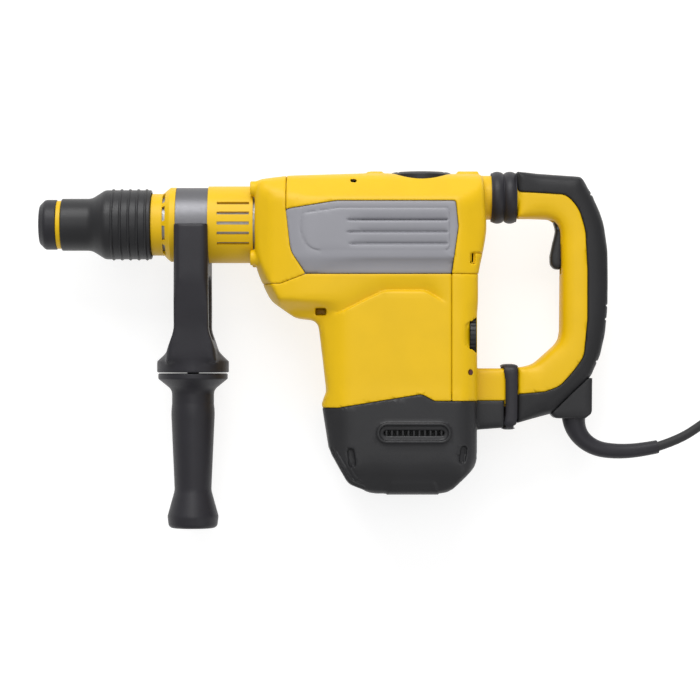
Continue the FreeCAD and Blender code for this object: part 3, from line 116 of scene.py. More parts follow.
# ------------------------------------------------------------ finishes
def srgb(code):
    """Linear colour from an sRGB hex code."""
    parts = [int(code[i:i + 2], 16) / 255 for i in (1, 3, 5)]
    return tuple(c / 12.92 if c <= 0.04045 else ((c + 0.055) / 1.055) ** 2.4 for c in parts) + (1.0,)


def add(tree, kind, links=None, **settings):
    """Adds a node with its settings, and links {socket name or index: output socket} into it."""
    n = tree.nodes.new(kind)
    for key, value in settings.items():
        if key in n.inputs:
            n.inputs[key].default_value = value
        else:
            setattr(n, key, value)
    for socket, source in (links or {}).items():
        tree.links.new(source, n.inputs[socket])
    return n


FINISHES = {}


def finish(name, colour, rough, metallic=0.0, grain=0.5, bump=0.04, mottle=0.08, spread=0.08, shine=0.5,
           coat=0.0, along=None):
    """A material whose grain (mm) gives its bump, and whose colour and gloss drift slowly over it.

    along stretches the grain into brush lines along that axis.
    """
    mat = bpy.data.materials.new(name)
    mat.use_nodes = True
    tree = mat.node_tree
    shader = tree.nodes["Principled BSDF"]
    shader.inputs["Metallic"].default_value = metallic
    shader.inputs["Specular IOR Level"].default_value = shine
    shader.inputs["Coat Weight"].default_value = coat
    place = add(tree, "ShaderNodeTexCoord").outputs["Object"]
    stretch = [1.0, 1.0, 1.0]
    if along is not None:
        stretch[along] = 0.04
    place = add(tree, "ShaderNodeMapping", {"Vector": place}, Scale=stretch).outputs["Vector"]
    slow = add(tree, "ShaderNodeTexNoise", {"Vector": place}, Scale=1 / (35 * MM), Detail=3.0)
    fine = add(tree, "ShaderNodeTexNoise", {"Vector": place}, Scale=1 / (grain * MM), Detail=2.0)
    base = srgb(colour) if isinstance(colour, str) else tuple(colour)
    dark = tuple(c * (1 - mottle) for c in base[:3]) + (1.0,)
    pale = tuple(min(1.0, c * (1 + mottle * 0.6)) for c in base[:3]) + (1.0,)
    ramp = add(tree, "ShaderNodeValToRGB", {"Fac": slow.outputs["Fac"]})
    ramp.color_ramp.elements[0].position, ramp.color_ramp.elements[1].position = 0.35, 0.65
    ramp.color_ramp.elements[0].color, ramp.color_ramp.elements[1].color = dark, pale
    tree.links.new(ramp.outputs["Color"], shader.inputs["Base Color"])
    gloss = add(tree, "ShaderNodeMapRange", {"Value": fine.outputs["Fac"]})
    gloss.inputs["From Min"].default_value, gloss.inputs["From Max"].default_value = 0.3, 0.7
    gloss.inputs["To Min"].default_value = rough - spread
    gloss.inputs["To Max"].default_value = rough + spread
    tree.links.new(gloss.outputs["Result"], shader.inputs["Roughness"])
    relief = add(tree, "ShaderNodeBump", {"Height": fine.outputs["Fac"]}, Strength=bump, Distance=grain * MM)
    tree.links.new(relief.outputs["Normal"], shader.inputs["Normal"])
    FINISHES[name] = mat
    return mat


def make_finishes(colours):
    # Injection-moulded nylon, spark-eroded mould: an even, slightly sparkling matt skin.
    finish("moulded_yellow_nylon", colours.yellow, 0.44, grain=0.7, bump=0.08, mottle=0.03, spread=0.05,
           shine=0.3)
    # The same nylon with carbon black: the grain shows as a soft grey bloom.
    finish("moulded_charcoal_nylon", colours.charcoal, 0.42, grain=0.7, bump=0.12, mottle=0.10, shine=0.32)
    # Thermoplastic elastomer moulded over the shells: duller, no sharp highlights.
    finish("elastomer_overmould", colours.overmould, 0.48, grain=0.9, bump=0.12, mottle=0.10, shine=0.3)
    # Moulded natural rubber with its faint bloom.
    finish("moulded_rubber", colours.rubber, 0.46, grain=0.8, bump=0.10, mottle=0.12, shine=0.32)
    # Grey nylon with a finer, silkier skin.
    finish("moulded_grey_nylon", colours.panel, 0.40, grain=0.5, bump=0.06, mottle=0.02, spread=0.05,
           shine=0.35)
    # Cold-rolled strip: fine lines along the rolling direction, round the nose.
    finish("rolled_steel_strip", "#6C6C6F", 0.46, metallic=1.0, grain=0.35, bump=0.06, mottle=0.05, along=1)
    # Ground and hardened steel, lightly oiled.
    finish("hardened_steel", "#6F7073", 0.30, metallic=1.0, grain=0.3, bump=0.04, along=1)
    finish("cut_gear_steel", "#84858A", 0.34, metallic=1.0, grain=0.4, bump=0.06)
    finish("polished_bearing_steel", "#B9BBBE", 0.16, metallic=1.0, grain=0.3, bump=0.01)
    # Die-cast aluminium as it leaves the die: grey, grainy, dull.
    finish("die_cast_aluminium", "#A2A4A7", 0.50, metallic=0.9, grain=1.2, bump=0.20, mottle=0.10)
    finish("stacked_laminations", "#4A4A4C", 0.50, metallic=0.7, grain=0.5, bump=0.20)
    finish("enamelled_copper", "#A85C30", 0.32, metallic=0.9, grain=0.8, bump=0.30)
    finish("drawn_brass", "#C0A050", 0.28, metallic=1.0, grain=0.4, bump=0.04)
    finish("pressed_carbon", "#1C1C1D", 0.60, grain=0.4, bump=0.20)
    finish("potting_resin", "#22272B", 0.30, grain=2.0, bump=0.06)
    finish("oiled_spring_wire", "#707276", 0.28, metallic=1.0, grain=0.3, bump=0.03)
    # Steel screws blackened in hot salts and oiled: dark, with soft blotches.
    finish("black_oxide_screw", "#2B2B2D", 0.34, metallic=0.8, grain=0.5, bump=0.05, mottle=0.15)
    # Transparent red polycarbonate over an unlit lamp: dark and glossy.
    finish("red_polycarbonate", "#4A0B09", 0.12, grain=1.0, bump=0.01, coat=0.6)
    # Rubber-sheathed flexible lead: matt with a fine talc bloom.
    finish("rubber_sheath", "#1D1D1F", 0.60, grain=0.6, bump=0.10, mottle=0.16)
    # Hook-and-loop tie round the coil.
    finish("woven_tie", "#2A2A2E", 0.85, grain=0.9, bump=0.6)


NODE_FINISH = {
    "black_rubber": "moulded_rubber", "yellow_abs": "moulded_yellow_nylon",
    "charcoal_shell": "moulded_charcoal_nylon", "black_overmould": "elastomer_overmould",
    "grey_panel": "moulded_grey_nylon", "steel_band": "rolled_steel_strip",
    "hardened_steel": "hardened_steel", "gear_steel": "cut_gear_steel",
    "bearing_steel": "polished_bearing_steel", "cast_aluminium": "die_cast_aluminium",
    "lamination": "stacked_laminations", "copper": "enamelled_copper", "brass": "drawn_brass",
    "carbon": "pressed_carbon", "fan_nylon": "moulded_charcoal_nylon", "electronics": "potting_resin",
    "spring_steel": "oiled_spring_wire", "zinc_screw": "black_oxide_screw", "red_lens": "red_polycarbonate",
    "cord_rubber": "rubber_sheath",
}
SLOT_OF = {s["node"]: s["material_slot"] for s in frame["record"]["subparts"]}


# ------------------------------------------------------------ solids as distance fields
def rounded(corners, facets=5):
    """Points of an outline whose corners (a, b, radius) are rounded by tangent arcs."""
    pts, n = [], len(corners)
    for i, (a, b, r) in enumerate(corners):
        here = np.array([a, b], float)
        back = np.array(corners[i - 1][:2], float) - here
        on = np.array(corners[(i + 1) % n][:2], float) - here
        back, on = back / np.linalg.norm(back), on / np.linalg.norm(on)
        half = math.acos(max(-1.0, min(1.0, float(back @ on)))) / 2
        if r <= 0 or half > math.pi / 2 - 1e-3:
            pts.append(tuple(here))
            continue
        run = r / math.tan(half)
        mid = (back + on) / np.linalg.norm(back + on)
        hub = here + mid * r / math.sin(half)
        start, end = here + back * run - hub, here + on * run - hub
        turn = math.atan2(start[0] * end[1] - start[1] * end[0], float(start @ end))
        for k in range(facets + 1):
            t = turn * k / facets
            c, s = math.cos(t), math.sin(t)
            pts.append((hub[0] + start[0] * c - start[1] * s, hub[1] + start[0] * s + start[1] * c))
    return pts


def polygon(corners, a, b):
    """Signed distance to a rounded outline, negative inside, over broadcast coordinates."""
    pts = rounded(corners)
    shape = np.broadcast(a, b).shape
    best = np.full(shape, 1e9, np.float32)
    inside = np.zeros(shape, bool)
    for (ax, ay), (bx, by) in zip(pts, pts[1:] + pts[:1]):
        ex, ey = bx - ax, by - ay
        if ex * ex + ey * ey < 1e-12:
            continue
        pa, pb = a - ax, b - ay
        t = np.clip((pa * ex + pb * ey) / (ex * ex + ey * ey), 0, 1)
        best = np.minimum(best, (pa - ex * t) ** 2 + (pb - ey * t) ** 2)
        if ey != 0:
            inside ^= ((ay > b) != (by > b)) & (a < ex * (b - ay) / ey + ax)
    return (np.where(inside, -1, 1) * np.sqrt(best)).astype(np.float32)


def both(a, b, k=0.0):
    """Intersection, its edge rounded over about k mm."""
    k = np.maximum(k, 1e-3)
    h = np.maximum(k - np.abs(a - b), 0) / k
    return np.maximum(a, b) + h * h * k * 0.25


def either(a, b, k=0.0):
    """Union, its inner corner filled over about k mm."""
    return -both(-a, -b, k)


def without(a, b, k=0.0):
    return both(a, -b, k)


def capsule(a, b, a0, b0, a1, b1, r):
    """Distance to a round-ended bar of radius r in a plane."""
    ex, ey = a1 - a0, b1 - b0
    t = np.clip(((a - a0) * ex + (b - b0) * ey) / (ex * ex + ey * ey), 0, 1)
    return np.sqrt((a - a0 - ex * t) ** 2 + (b - b0 - ey * t) ** 2) - r


def grid(low, high, step):
    """Sparse coordinates of a block, with a margin for its surface."""
    axes = [np.arange(a - 2 * step, b + 3 * step, step, dtype=np.float32) for a, b in zip(low, high)]
    return axes[0][:, None, None], axes[1][None, :, None], axes[2][None, None, :]


THRIFT = 0.15             # how freely flat stretches of a surface are merged into larger faces


def mesh_from(name, field, low, step):
    """Mesh of a field's zero surface, in metres, with its faces outwards."""
    x0 = np.array(low, float) - 2 * step
    vdb = openvdb.FloatGrid(3.0 * step)
    vdb.copyFromArray(np.ascontiguousarray(np.clip(field, -3 * step, 3 * step), dtype=np.float32))
    points, tris, quads = vdb.convertToPolygons(isovalue=0.0, adaptivity=THRIFT)
    points = (points * step + x0) * MM
    corners = np.concatenate([tris, quads[:, [0, 1, 2]], quads[:, [0, 2, 3]]])
    a, b, c = (points[corners[:, i]] for i in range(3))
    if np.einsum("ij,ij->i", a, np.cross(b, c)).sum() < 0:
        tris, quads = tris[:, ::-1], quads[:, ::-1]
    mesh = bpy.data.meshes.new(name)
    mesh.vertices.add(len(points))
    mesh.vertices.foreach_set("co", points.astype(np.float32).ravel())
    mesh.loops.add(tris.size + quads.size)
    mesh.loops.foreach_set("vertex_index", np.concatenate([tris.ravel(), quads.ravel()]).astype(np.int32))
    mesh.polygons.add(len(tris) + len(quads))
    starts = np.concatenate([np.arange(len(tris)) * 3, tris.size + np.arange(len(quads)) * 4])
    mesh.polygons.foreach_set("loop_start", starts.astype(np.int32))
    mesh.update(calc_edges=True)
    mesh.validate()
    mesh.polygons.foreach_set("use_smooth", np.ones(len(mesh.polygons), bool))
    mesh.update()
    return mesh


def place(name, mesh, body, slot, material, *replaced):
    """Adds a finished mesh as a piece that rides on a body and stands for CAD nodes."""
    piece = bpy.data.objects.new(name, mesh)
    bpy.context.scene.collection.objects.link(piece)
    mesh.materials.clear()
    mesh.materials.append(FINISHES[material])
    if body:
        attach(piece, body)
    if replaced:
        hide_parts(*replaced)
    return piece


def sculpt(name, node, body, slot, material, shape, step, low=None, high=None):
    """Meshes shape(x, y, z) in the CAD node's box, in place of the node."""
    box_low, box_high = span(node)
    low = box_low if low is None else low
    high = box_high if high is None else high
    step = step * 1.0
    x, y, z = grid(low, high, step)
    mesh = mesh_from(name, np.broadcast_to(shape(x, y, z), np.broadcast(x, y, z).shape), low, step)
    return place(name, mesh, body, slot, material, node)


# ------------------------------------------------------------ casing
# Side outline, clockwise from the nose: (x, y, corner radius).
BODY = [(CASE_X0, 72, 0), (CASE_X0, 139, 3), (-52, 143.5, 8), (-28, 147, 20), (36, 149.4, 20),
        (134, 148.2, 4), (138, 101, 30), (129.5, 62, 40), (129.5, -96, 22), (104, BASE_Y, 22),
        (42, BASE_Y, 20), (20.5, -113, 12), (5, -86, 20), (-1.5, -45, 2), (2.5, -35, 3), (-4.5, 24.5, 9),
        (-24, 26.5, 18), (-46, 42, 20)]
# Half width over height, as (half width, y, corner radius).
FRONT = [(-30, BASE_Y - 1, 0), (39, BASE_Y - 1, 10), (51.3, -98, 8), (51.3, -36, 0), (50.4, -33, 0),
         (50.4, 60, 0), (HALF_WIDTH, 77, 2), (HALF_WIDTH, 124, 14), (30, 146, 30), (8, 153, 20),
         (-30, 153, 0)]
GEAR_PLAN = [(CASE_X0, -30, 0), (CASE_X0, 34, 0), (-44, 44, 12), (-14, HALF_WIDTH, 40),
             (114, HALF_WIDTH, 10), (139, 38, 12), (139, -30, 0)]
MOTOR_PLAN = [(-60, -30, 0), (-60, 12, 8), (-34, 30, 20), (-3, 37, 10), (20, HALF_WIDTH, 16),
              (116, HALF_WIDTH, 3), (131.5, 38, 6), (131.5, -30, 0)]
PANEL = [(-31.5, 117, 3), (12, 124.0, 30), (110.4, 124.0, 2), (112.6, 102, 12), (107, SEAM_Y, 1),
         (-14.5, SEAM_Y, 1), (-27, 82, 20)]
FRONT_REGION = [(-80, 160, 0), (SPLIT_FRONT_X, 160, 0), (SPLIT_FRONT_X, 117, 0), (-27, 82, 20),
                (-14.5, SEAM_Y, 0), (-36, 55, 0), (-80, 55, 0)]
CAP_REGION = [(-40, BASE_Y - 20, 0), (-40, -49, 0), (12, -48.7, 0), (82, -37.2, 4), (93, CAP_SEAM_Y, 3),
              (170, CAP_SEAM_Y, 0), (170, BASE_Y - 20, 0)]
FLAT_SIDE = [(-60, 8, 0), (-12, 27, 20), (14, 30, 30), (37.3, 42, 30), (51.5, 48.4, 8), (84.9, 48.4, 8),
             (101, 39, 6), (140, 33, 0), (140, -200, 0), (-60, -200, 0)]
ARM = [(120, -16, 0), (154.6, -16, 1), (154.6, -66, 1), (120, -68.5, 0)]


def brow(x, y):
    """Depth of the hollow facet that runs under the side panel and ends on the flat side below it."""
    above = polygon(FLAT_SIDE, x, y)
    depth = 4.6 * np.clip(1 - above / 14, 0, 1) ** 1.2 * np.clip(above / 0.9, 0, 1)
    return depth * np.clip((104 - x) / 12, 0, 1) * np.clip((x + 52) / 20, 0, 1)


def casing(x, y, z):
    """The whole casing before it is split into its mouldings."""
    w = np.abs(z - MID)
    side = polygon(BODY, x, y)
    front = polygon(FRONT, w, y) + brow(x, y)
    t = np.clip((y - 30) / 14, 0, 1)
    t = t * t * (3 - 2 * t)
    plan = polygon(MOTOR_PLAN, x, w) * (1 - t) + polygon(GEAR_PLAN, x, w) * t
    r = np.sqrt((y - AXIS_Y) ** 2 + (z - MID) ** 2)
    nose = both((r - VENT_R - 3.6 * (x - CASE_X0 + 0.3)) / 3.74, (r - 47 - 1.59 * (x - CASE_X0 - 3)) / 1.88,
                6)
    nose = np.where(x > CASE_X0 + 34, -50.0, nose)
    body = both(both(side, front, 5), plan, 6)
    body = both(body, nose, 2)
    return body.astype(np.float32)


def handle_arm(x, y, z):
    """Fixed half of the D-handle's lower arm."""
    w = np.abs(z - MID)
    arm = both(polygon(ARM, x, y), w - 19, 5)
    return without(arm, both(both(np.abs(y - PIVOT_Y) - 22.5, w - 16), 128 - x), 0.5)


def hollow(solid, keep):
    """A moulding's wall: the solid region less what lies deeper than the wall."""
    return both(solid, -(keep + WALL), 0.3)


RIDGES = ((107.9, 18.4), (97.7, 18.4), (87.9, 20.5))


def panel_relief(x, y):
    """Depth that a side panel's surface is sunk.

    It adds up the outline, the finger grooves, the rolls between them and the lower facet.
    """
    inner = polygon([(-19.4, 100, 12), (-17.5, 113.2, 3), (13.8, 117.8, 20), (105.5, 117.8, 4),
                     (105.5, 82.5, 4),
                     (-12.5, 82.5, 14)], x, y)
    depth = 0.4 * np.clip(inner / 1.2 + 0.5, 0, 1) + 0.75 * np.exp(-(inner / 0.8) ** 2)
    for gy, x0 in RIDGES:
        reach = np.clip((x - x0) / 4, 0, 1) * np.clip((104.6 - x) / 2, 0, 1)
        depth = depth + 2.0 * np.exp(-((y - gy) / 0.8) ** 2) * reach
        roll = np.clip((y - gy) / 8.5, 0, 1)
        fade = np.clip((x - x0 - 2) / 14, 0, 1) * np.clip((105 - x) / 3, 0, 1)
        depth = depth + 1.5 * (1 - roll) ** 2 * (y > gy) * fade
    edge = 72 - 9 * (np.clip(45 - x, 0, 50) / 50) ** 2
    return depth + 3.2 * np.clip((77 - y) / (77 - edge), 0, 1)


def side_panel(side):
    def shape(x, y, z):
        outer = casing(x, y, z) + panel_relief(x, y)
        region = polygon(PANEL, x, y) + SEAM
        body = both(both(outer, region, 0.9), (HALF_WIDTH - 9) - side * (z - MID))
        return both(body, -(outer + WALL), 0.3)
    return shape


def panel_hole(x, y, z):
    return both(polygon(PANEL, x, y) - SEAM, (HALF_WIDTH - 12) - np.abs(z - MID))


def front_cover(x, y, z):
    keep = casing(x, y, z)
    spine = np.sqrt((y - AXIS_Y) ** 2 + (z - MID) ** 2)
    body = both(keep, polygon(FRONT_REGION, x, y) + SEAM, 0.6)
    for dy, dz in LUGS:
        r = np.sqrt((y - AXIS_Y - dy) ** 2 + (z - MID - dz) ** 2)
        lug = both(both(both(r - 6.4, (CASE_X0 - 2.3) - x, 1.0), x + 44, 1.0), 33.0 - spine)
        body = either(body, lug, 2.5)
        keep = either(keep, lug, 2.5)
    body = without(hollow(body, keep), spine - 29.7, 0.3)
    for dy, dz in LUGS:
        r = np.sqrt((y - AXIS_Y - dy) ** 2 + (z - MID - dz) ** 2)
        body = without(body, both(r - 4.2, x - (CASE_X0 + 1.2)), 0.4)
    return body


DIAL = centre("mode_dial")
DIAL_R = 28.0


def top_cover(x, y, z):
    keep = casing(x, y, z)
    w = np.abs(z - MID)
    for x0, x1 in ((37, 50), (113, 131)):
        rib = both(both(np.abs(x - (x0 + x1) / 2) - (x1 - x0) / 2, y - (TOP_Y - 0.7), 1.5), w - 13, 3)
        keep = either(keep, both(rib, 140 - y), 2.0)
    body = both(keep, SEAM_Y + SEAM - y, 0.6)
    body = without(body, polygon(FRONT_REGION, x, y) - SEAM, 0.6)
    body = hollow(body, keep)
    body = without(body, panel_hole(x, y, z), 0.9)
    r = np.sqrt((x - DIAL[0]) ** 2 + (z - MID) ** 2)
    well = both(r - (DIAL_R + 3.2), both(np.abs(y - 143) - 7.5, keep))
    body = either(body, well, 0.5)
    body = without(body, both(r - (DIAL_R + 0.5), 138.6 - y), 0.6)
    ry = np.sqrt((y - STUB_Y) ** 2 + (z - MID) ** 2)
    stub = both(both(ry - STUB_R, x - 146, 1.0), 131 - x)
    stub = without(stub, both(ry - (STUB_R - WALL), 135 - x), 0.3)
    body = either(body, stub, 1.5)
    scoop = both(np.sqrt((x - 82.6) ** 2 + (y - 199.4) ** 2) - 56, 12 - w)
    body = without(body, scoop, 0.8)
    hole = capsule(x, y, 24.0, 141.5, 26.6, 141.1, 1.35)
    body = without(body, both(hole, 20 - w), 0.6)
    latch = both(np.abs(x - 124.6) - 2.0, np.abs(y - 75.8) - 4.4, 0.8)
    body = without(body, both(both(latch, 30 - w), -(keep + 2.5)), 0.4)
    line = both(np.abs(x - 130) - 5.5, np.abs(y - 80.6) - 0.6)
    return without(body, both(both(line, 30 - w), -(keep + 1.6)), 0.4)


def motor_housing(x, y, z):
    keep = casing(x, y, z)
    w = np.abs(z - MID)
    recess = both(both(both(np.abs(x + 2) - 4.6, np.abs(y - 31.6) - 3.0, 1.0), w - HALF_WIDTH), 18 - w)
    keep = without(keep, recess, 0.8)
    body = both(keep, y - (SEAM_Y - SEAM), 0.6)
    body = both(body, x - (SPLIT_REAR_X - SEAM), 0.9)
    body = without(body, polygon(FRONT_REGION, x, y) - SEAM, 0.6)
    body = without(body, polygon(CAP_REGION, x, y) - SEAM, 0.6)
    return hollow(body, keep)


SPEED = centre("speed_dial")
SPEED_X0, SPEED_X1 = span("speed_dial")[1][0] - 4.6, span("speed_dial")[1][0]


def rear_cover(x, y, z):
    keep = casing(x, y, z)
    w = np.abs(z - MID)
    r = np.sqrt((y - SPEED[1]) ** 2 + (z - SPEED[2]) ** 2)
    scoop = both(both(r - 16.6, np.abs(x - 120.6) - 2.2), 40 - (z - MID))
    keep = without(keep, both(scoop, -(keep + 1.2)), 1.5)
    arm = handle_arm(x, y, z)
    body = both(keep, y - (SEAM_Y - SEAM), 0.6)
    body = both(body, SPLIT_REAR_X + SEAM - x, 0.6)
    body = hollow(body, keep)
    body = either(body, without(arm, keep + 0.5), 1.5)
    body = without(body, polygon(CAP_REGION, x, y) - SEAM, 0.6)
    body = without(body, both(r - 15.8, np.abs(x - (SPEED_X0 + SPEED_X1) / 2) - 2.8), 0.5)
    lamp = np.sqrt((y + 19) ** 2 + (0.76 * (x - 121.5) - 0.65 * (z - MID - 44)) ** 2) - 2.3
    body = without(body, both(lamp, 36 - (z - MID)), 0.4)
    ry = np.sqrt((x - PIVOT_X) ** 2 + (y - PIVOT_Y) ** 2)
    tongue = either(both(both(np.abs(y - PIVOT_Y) - 7, 127 - x), x - PIVOT_X), ry - 7, 1.0)
    tongue = without(both(tongue, w - 7, 0.6), ry - 4.1, 0.4)
    return either(body, tongue, 0.5)


VENT_Y = -69.5
VENT_X = (53.2, 98.0)


def end_cap(x, y, z):
    keep = casing(x, y, z)
    w = np.abs(z - MID)
    bezel = capsule(x, y, VENT_X[0], VENT_Y, VENT_X[1], VENT_Y, 8.7)
    keep = either(keep, both(both(bezel, w - HALF_WIDTH, 1.2), 44 - w), 1.0)
    keep = without(keep, both(bezel + 2.6, (HALF_WIDTH - 2.2) - w), 1.2)
    for px, y0, y1, slant in ((23.0, -85, -95, 1.5), (117.2, -83, -92, -1.5)):
        keep = without(keep, both(both(capsule(x, y, px, y0, px + slant, y1, 2.6), 34 - w), -(keep + 2.6)),
                       1.4)
        rib = both(capsule(x, y, px + slant, y1, px + slant * 2, y1 - 14, 1.3), both(w - 47, keep - 1.4))
        keep = either(keep, rib, 1.0)
    rim = polygon(BODY, x, y)
    corner = np.clip(1.2 - capsule(x, y, 8, -91, 26, -116, 7) / 2.5, 0, 1)
    keep = keep + 0.55 * corner * (1 + np.cos(2 * math.pi * rim / 3.4))
    step = polygon([(52, -123, 2), (56.5, -110.5, 2), (93, -110.5, 2), (97, -123, 2)], x, y)
    keep = either(keep, both(both(step, keep - 0.9), 28 - w), 0.8)
    body = both(keep, polygon(CAP_REGION, x, y) + SEAM, 0.6)
    slot = capsule(x, y, VENT_X[0] - 0.8, VENT_Y, VENT_X[1] + 0.8, VENT_Y, 2.2)
    body = hollow(body, keep)
    arm = both(handle_arm(x, y, z), y - (CAP_SEAM_Y - SEAM), 0.6)
    notch = both(np.abs(y + 40.6) - 7.8, w - 7.3)
    body = either(body, without(arm, keep + 0.5), 1.5)
    body = without(body, both(notch, 120 - x), 0.4)
    body = without(body, both(slot, 30 - w), 0.8)
    # A charcoal wall deep inside each air inlet, behind its bars, is painted shade: a dark sheet standing in
    # for the shade of the motor space, so the floor does not show through the slot.
    return either(body, both(both(slot - 7, np.abs(w - 33) - 1.2, 1.0), keep + 1.0))


# ------------------------------------------------------------ D-handle
FORK_X = 163.2
D_OUTER = [(150, 151.2, 0), (218.5, 146.4, 6), (228.6, 128.6, 40), (236.9, 109, 50), (240.6, 83, 60),
           (BACK_X, 57, 80), (240.4, 35, 60), (238.4, 14, 50), (235, -3, 30), (226.5, -22.5, 6),
           (194, -54, 8), (150, -65.7, 0)]
D_OPENING = [(150, -16, 0), (176, -13, 20), (199.5, 8, 16), (200, 66, 20), (199, 109.5, 12), (150, 111, 0)]
D_BLACK = [(140, 160, 0), (260, 160, 0), (260, -80, 0), (140, -80, 0), (140, -40, 0), (187, -35.6, 20),
           (199.5, -31, 20), (211, -18, 40), (219.6, -6, 20), (222.6, 25, 60), (222.7, 66, 60),
           (221, 100, 40), (215.5, 119, 30), (205, 130.8, 14), (140, 134.6, 0)]
GRIP_HALF = 20.0


def d_ring(x, y):
    """The D's outline in the middle plane: its outer loop less the hand's opening."""
    return both(both(polygon(D_OUTER, x, y), -polygon(D_OPENING, x, y)), FORK_X - x, 1.0)


def d_handle(x, y, z, by=0.0):
    """The D-handle's rounded section, shrunk by a thickness."""
    w = np.abs(z - MID)
    flat = d_ring(x, y)
    t = np.clip((x - FORK_X) / 22, 0, 1)
    ends = 6.0 + 7.0 * t * t * (3 - 2 * t)
    return both(flat + by, w - (GRIP_HALF - by), ends)


def shell(side):
    def shape(x, y, z):
        w = np.abs(z - MID)
        flat = polygon(D_BLACK, x, y)
        body = both(d_handle(x, y, z, 0.8), -(flat - SEAM), 0.8)
        body = either(body, both(d_handle(x, y, z, 3.5), flat - 1.0))
        plug = both(np.sqrt((y - STUB_Y) ** 2 + (z - MID) ** 2) - 17.5, both(155.8 - x, x - 168))
        body = either(body, plug, 0.5)
        body = both(body, -d_handle(x, y, z, 6.0), 0.4)
        body = without(body, both(np.sqrt((y - STUB_Y) ** 2 + (z - MID) ** 2) - 13, x - 176), 0.4)
        trigger_way = both(polygon([(186, 110, 0), (190, 64, 0), (210, 64, 0), (210, 110, 0)], x, y),
                           w - 8.6)
        body = without(body, trigger_way, 1.0)
        r = np.sqrt((x - PIVOT_X) ** 2 + (y - PIVOT_Y) ** 2)
        ear = either(r - 7, both(both(np.abs(y - PIVOT_Y) - 7, PIVOT_X - x), x - 168), 0.5)
        body = without(body, both(both(np.abs(y - PIVOT_Y) - 12, x - 172), w - 15.2), 0.3)
        body = either(body, both(both(ear, w - 15), 7.5 - w, 0.4), 0.3)
        return both(body, SEAM * 0.5 - side * (z - MID), 0.6)
    return shape


def overmould(x, y, z):
    w = np.abs(z - MID)
    flat = polygon(D_BLACK, x, y)
    outer = d_handle(x, y, z)
    rim = d_ring(x, y)
    for gx, gy, dx, dy in ((226, 131, 9, 4), (243, 37.4, -18, -0.6), (243, 25.6, -18, 0.6),
                           (240, -12, -14, 3)):
        groove = capsule(x, y, gx, gy, gx + dx, gy + dy, 0.55)
        outer = without(outer, both(groove, -(rim + 1.6)), 0.9)
    body = both(outer, flat + SEAM, 1.0)
    body = both(body, -d_handle(x, y, z, 3.6), 0.2)
    body = without(body, both(np.sqrt((y - STUB_Y) ** 2 + (z - MID) ** 2) - 17.7, x - 168.2), 0.2)
    return without(body, both(both(np.abs(y - PIVOT_Y) - 12, x - 172), w - 15.2), 0.3)


GUARD = [(195.5, -58.3, 4), (221.5, -58.3, 3), (227.2, -54, 4), (227.4, -21, 2), (219, -24, 0),
         (190, -52, 0)]


def cable_guard(x, y, z):
    w = np.abs(z - MID)
    block = both(polygon(GUARD, x, y), w - 14, 3.5)
    return without(block, d_handle(x, y, z, -0.05), 0.3)


TRIGGER = [(194.4, 109, 1), (197, 101, 10), (194.3, 90, 20), (192, 79, 10), (192.3, 72, 3), (195.5, 68.2, 3),
           (200.5, 67.8, 2), (203, 72, 3), (204, 84, 4), (204, 107, 2)]


def trigger(x, y, z):
    w = np.abs(z - MID)
    body = both(polygon(TRIGGER, x, y), w - 8, 4.0)
    return without(body, np.sqrt((x - 199) ** 2 + (y - 103) ** 2) - 1.6, 0.3)


# ------------------------------------------------------------ side handle
def yoke(x, y, z):
    """Fork that holds the nose between its arms, flaring into a round foot."""
    w = np.abs(z - MID)
    dx = np.abs(x - YOKE_X)
    fork = polygon([(-5, YOKE_BASE_Y + 8, 0), (31, YOKE_BASE_Y + 8, 6), (33, 20, 20), (39.4, 60, 10),
                    (39.4, AXIS_Y, 2),
                    (-5, AXIS_Y, 0)], w, y)
    wide = polygon([(-5, YOKE_BASE_Y + 8, 0), (21.5, YOKE_BASE_Y + 8, 0), (21.0, -2, 6), (14.6, 16, 20),
                    (14.2, AXIS_Y, 0),
                    (-5, AXIS_Y, 0)], dx, y)
    facet = (dx + 0.9 * w - 14.2 - 0.9 * 35.6) / 1.35
    arms = both(both(fork, wide, 2.0), facet, 1.0)
    r = np.sqrt((y - AXIS_Y) ** 2 + (z - MID) ** 2)
    arms = without(arms, r - (BAND_R + 0.15), 0.8)
    arms = without(arms, both(both(w - (BAND_R + 0.15), 76 - y), dx - 13.4), 0.4)
    low, high = span("clamp_band")
    arms = without(arms, both(r - 31.9, x - (low[0] - 0.1)), 0.4)
    arms = without(arms, both(r - (VENT_R + 0.3), (high[0] + 0.1) - x), 0.4)
    arms = without(arms, polygon([(-5, 8, 0), (14, 8, 6), (25, 62, 10), (-5, 62, 0)], w, y), 2.5)
    ry = np.sqrt((x - YOKE_X) ** 2 + (z - MID) ** 2)
    foot = polygon([(-9, YOKE_BASE_Y, 0), (30.5, YOKE_BASE_Y, 1), (30.5, YOKE_BASE_Y + 9.4, 1.2),
                    (24, YOKE_BASE_Y + 15.6, 3),
                    (16, YOKE_BASE_Y + 24, 10), (-9, YOKE_BASE_Y + 24, 0)], ry, y)
    body = either(arms, foot, 3.0)
    return without(body, ry - 5.1, 0.3)


# ------------------------------------------------------------ lathe and strips
def lathe(name, profile, y, z, turns=96):
    """Closed ring turned about a line along X from (x, radius) points, in order round the section."""
    verts, faces, n = [], [], len(profile)
    for k in range(turns):
        a = 2 * math.pi * k / turns
        verts += [(px * MM, (y + r * math.cos(a)) * MM, (z + r * math.sin(a)) * MM) for px, r in profile]
    for k in range(turns):
        for i in range(n):
            j, m = (i + 1) % n, (k + 1) % turns
            faces.append((k * n + i, k * n + j, m * n + j, m * n + i))
    mesh = bpy.data.meshes.new(name)
    mesh.from_pydata(verts, [], faces)
    outward(mesh)
    mesh.polygons.foreach_set("use_smooth", np.ones(len(mesh.polygons), bool))
    return mesh


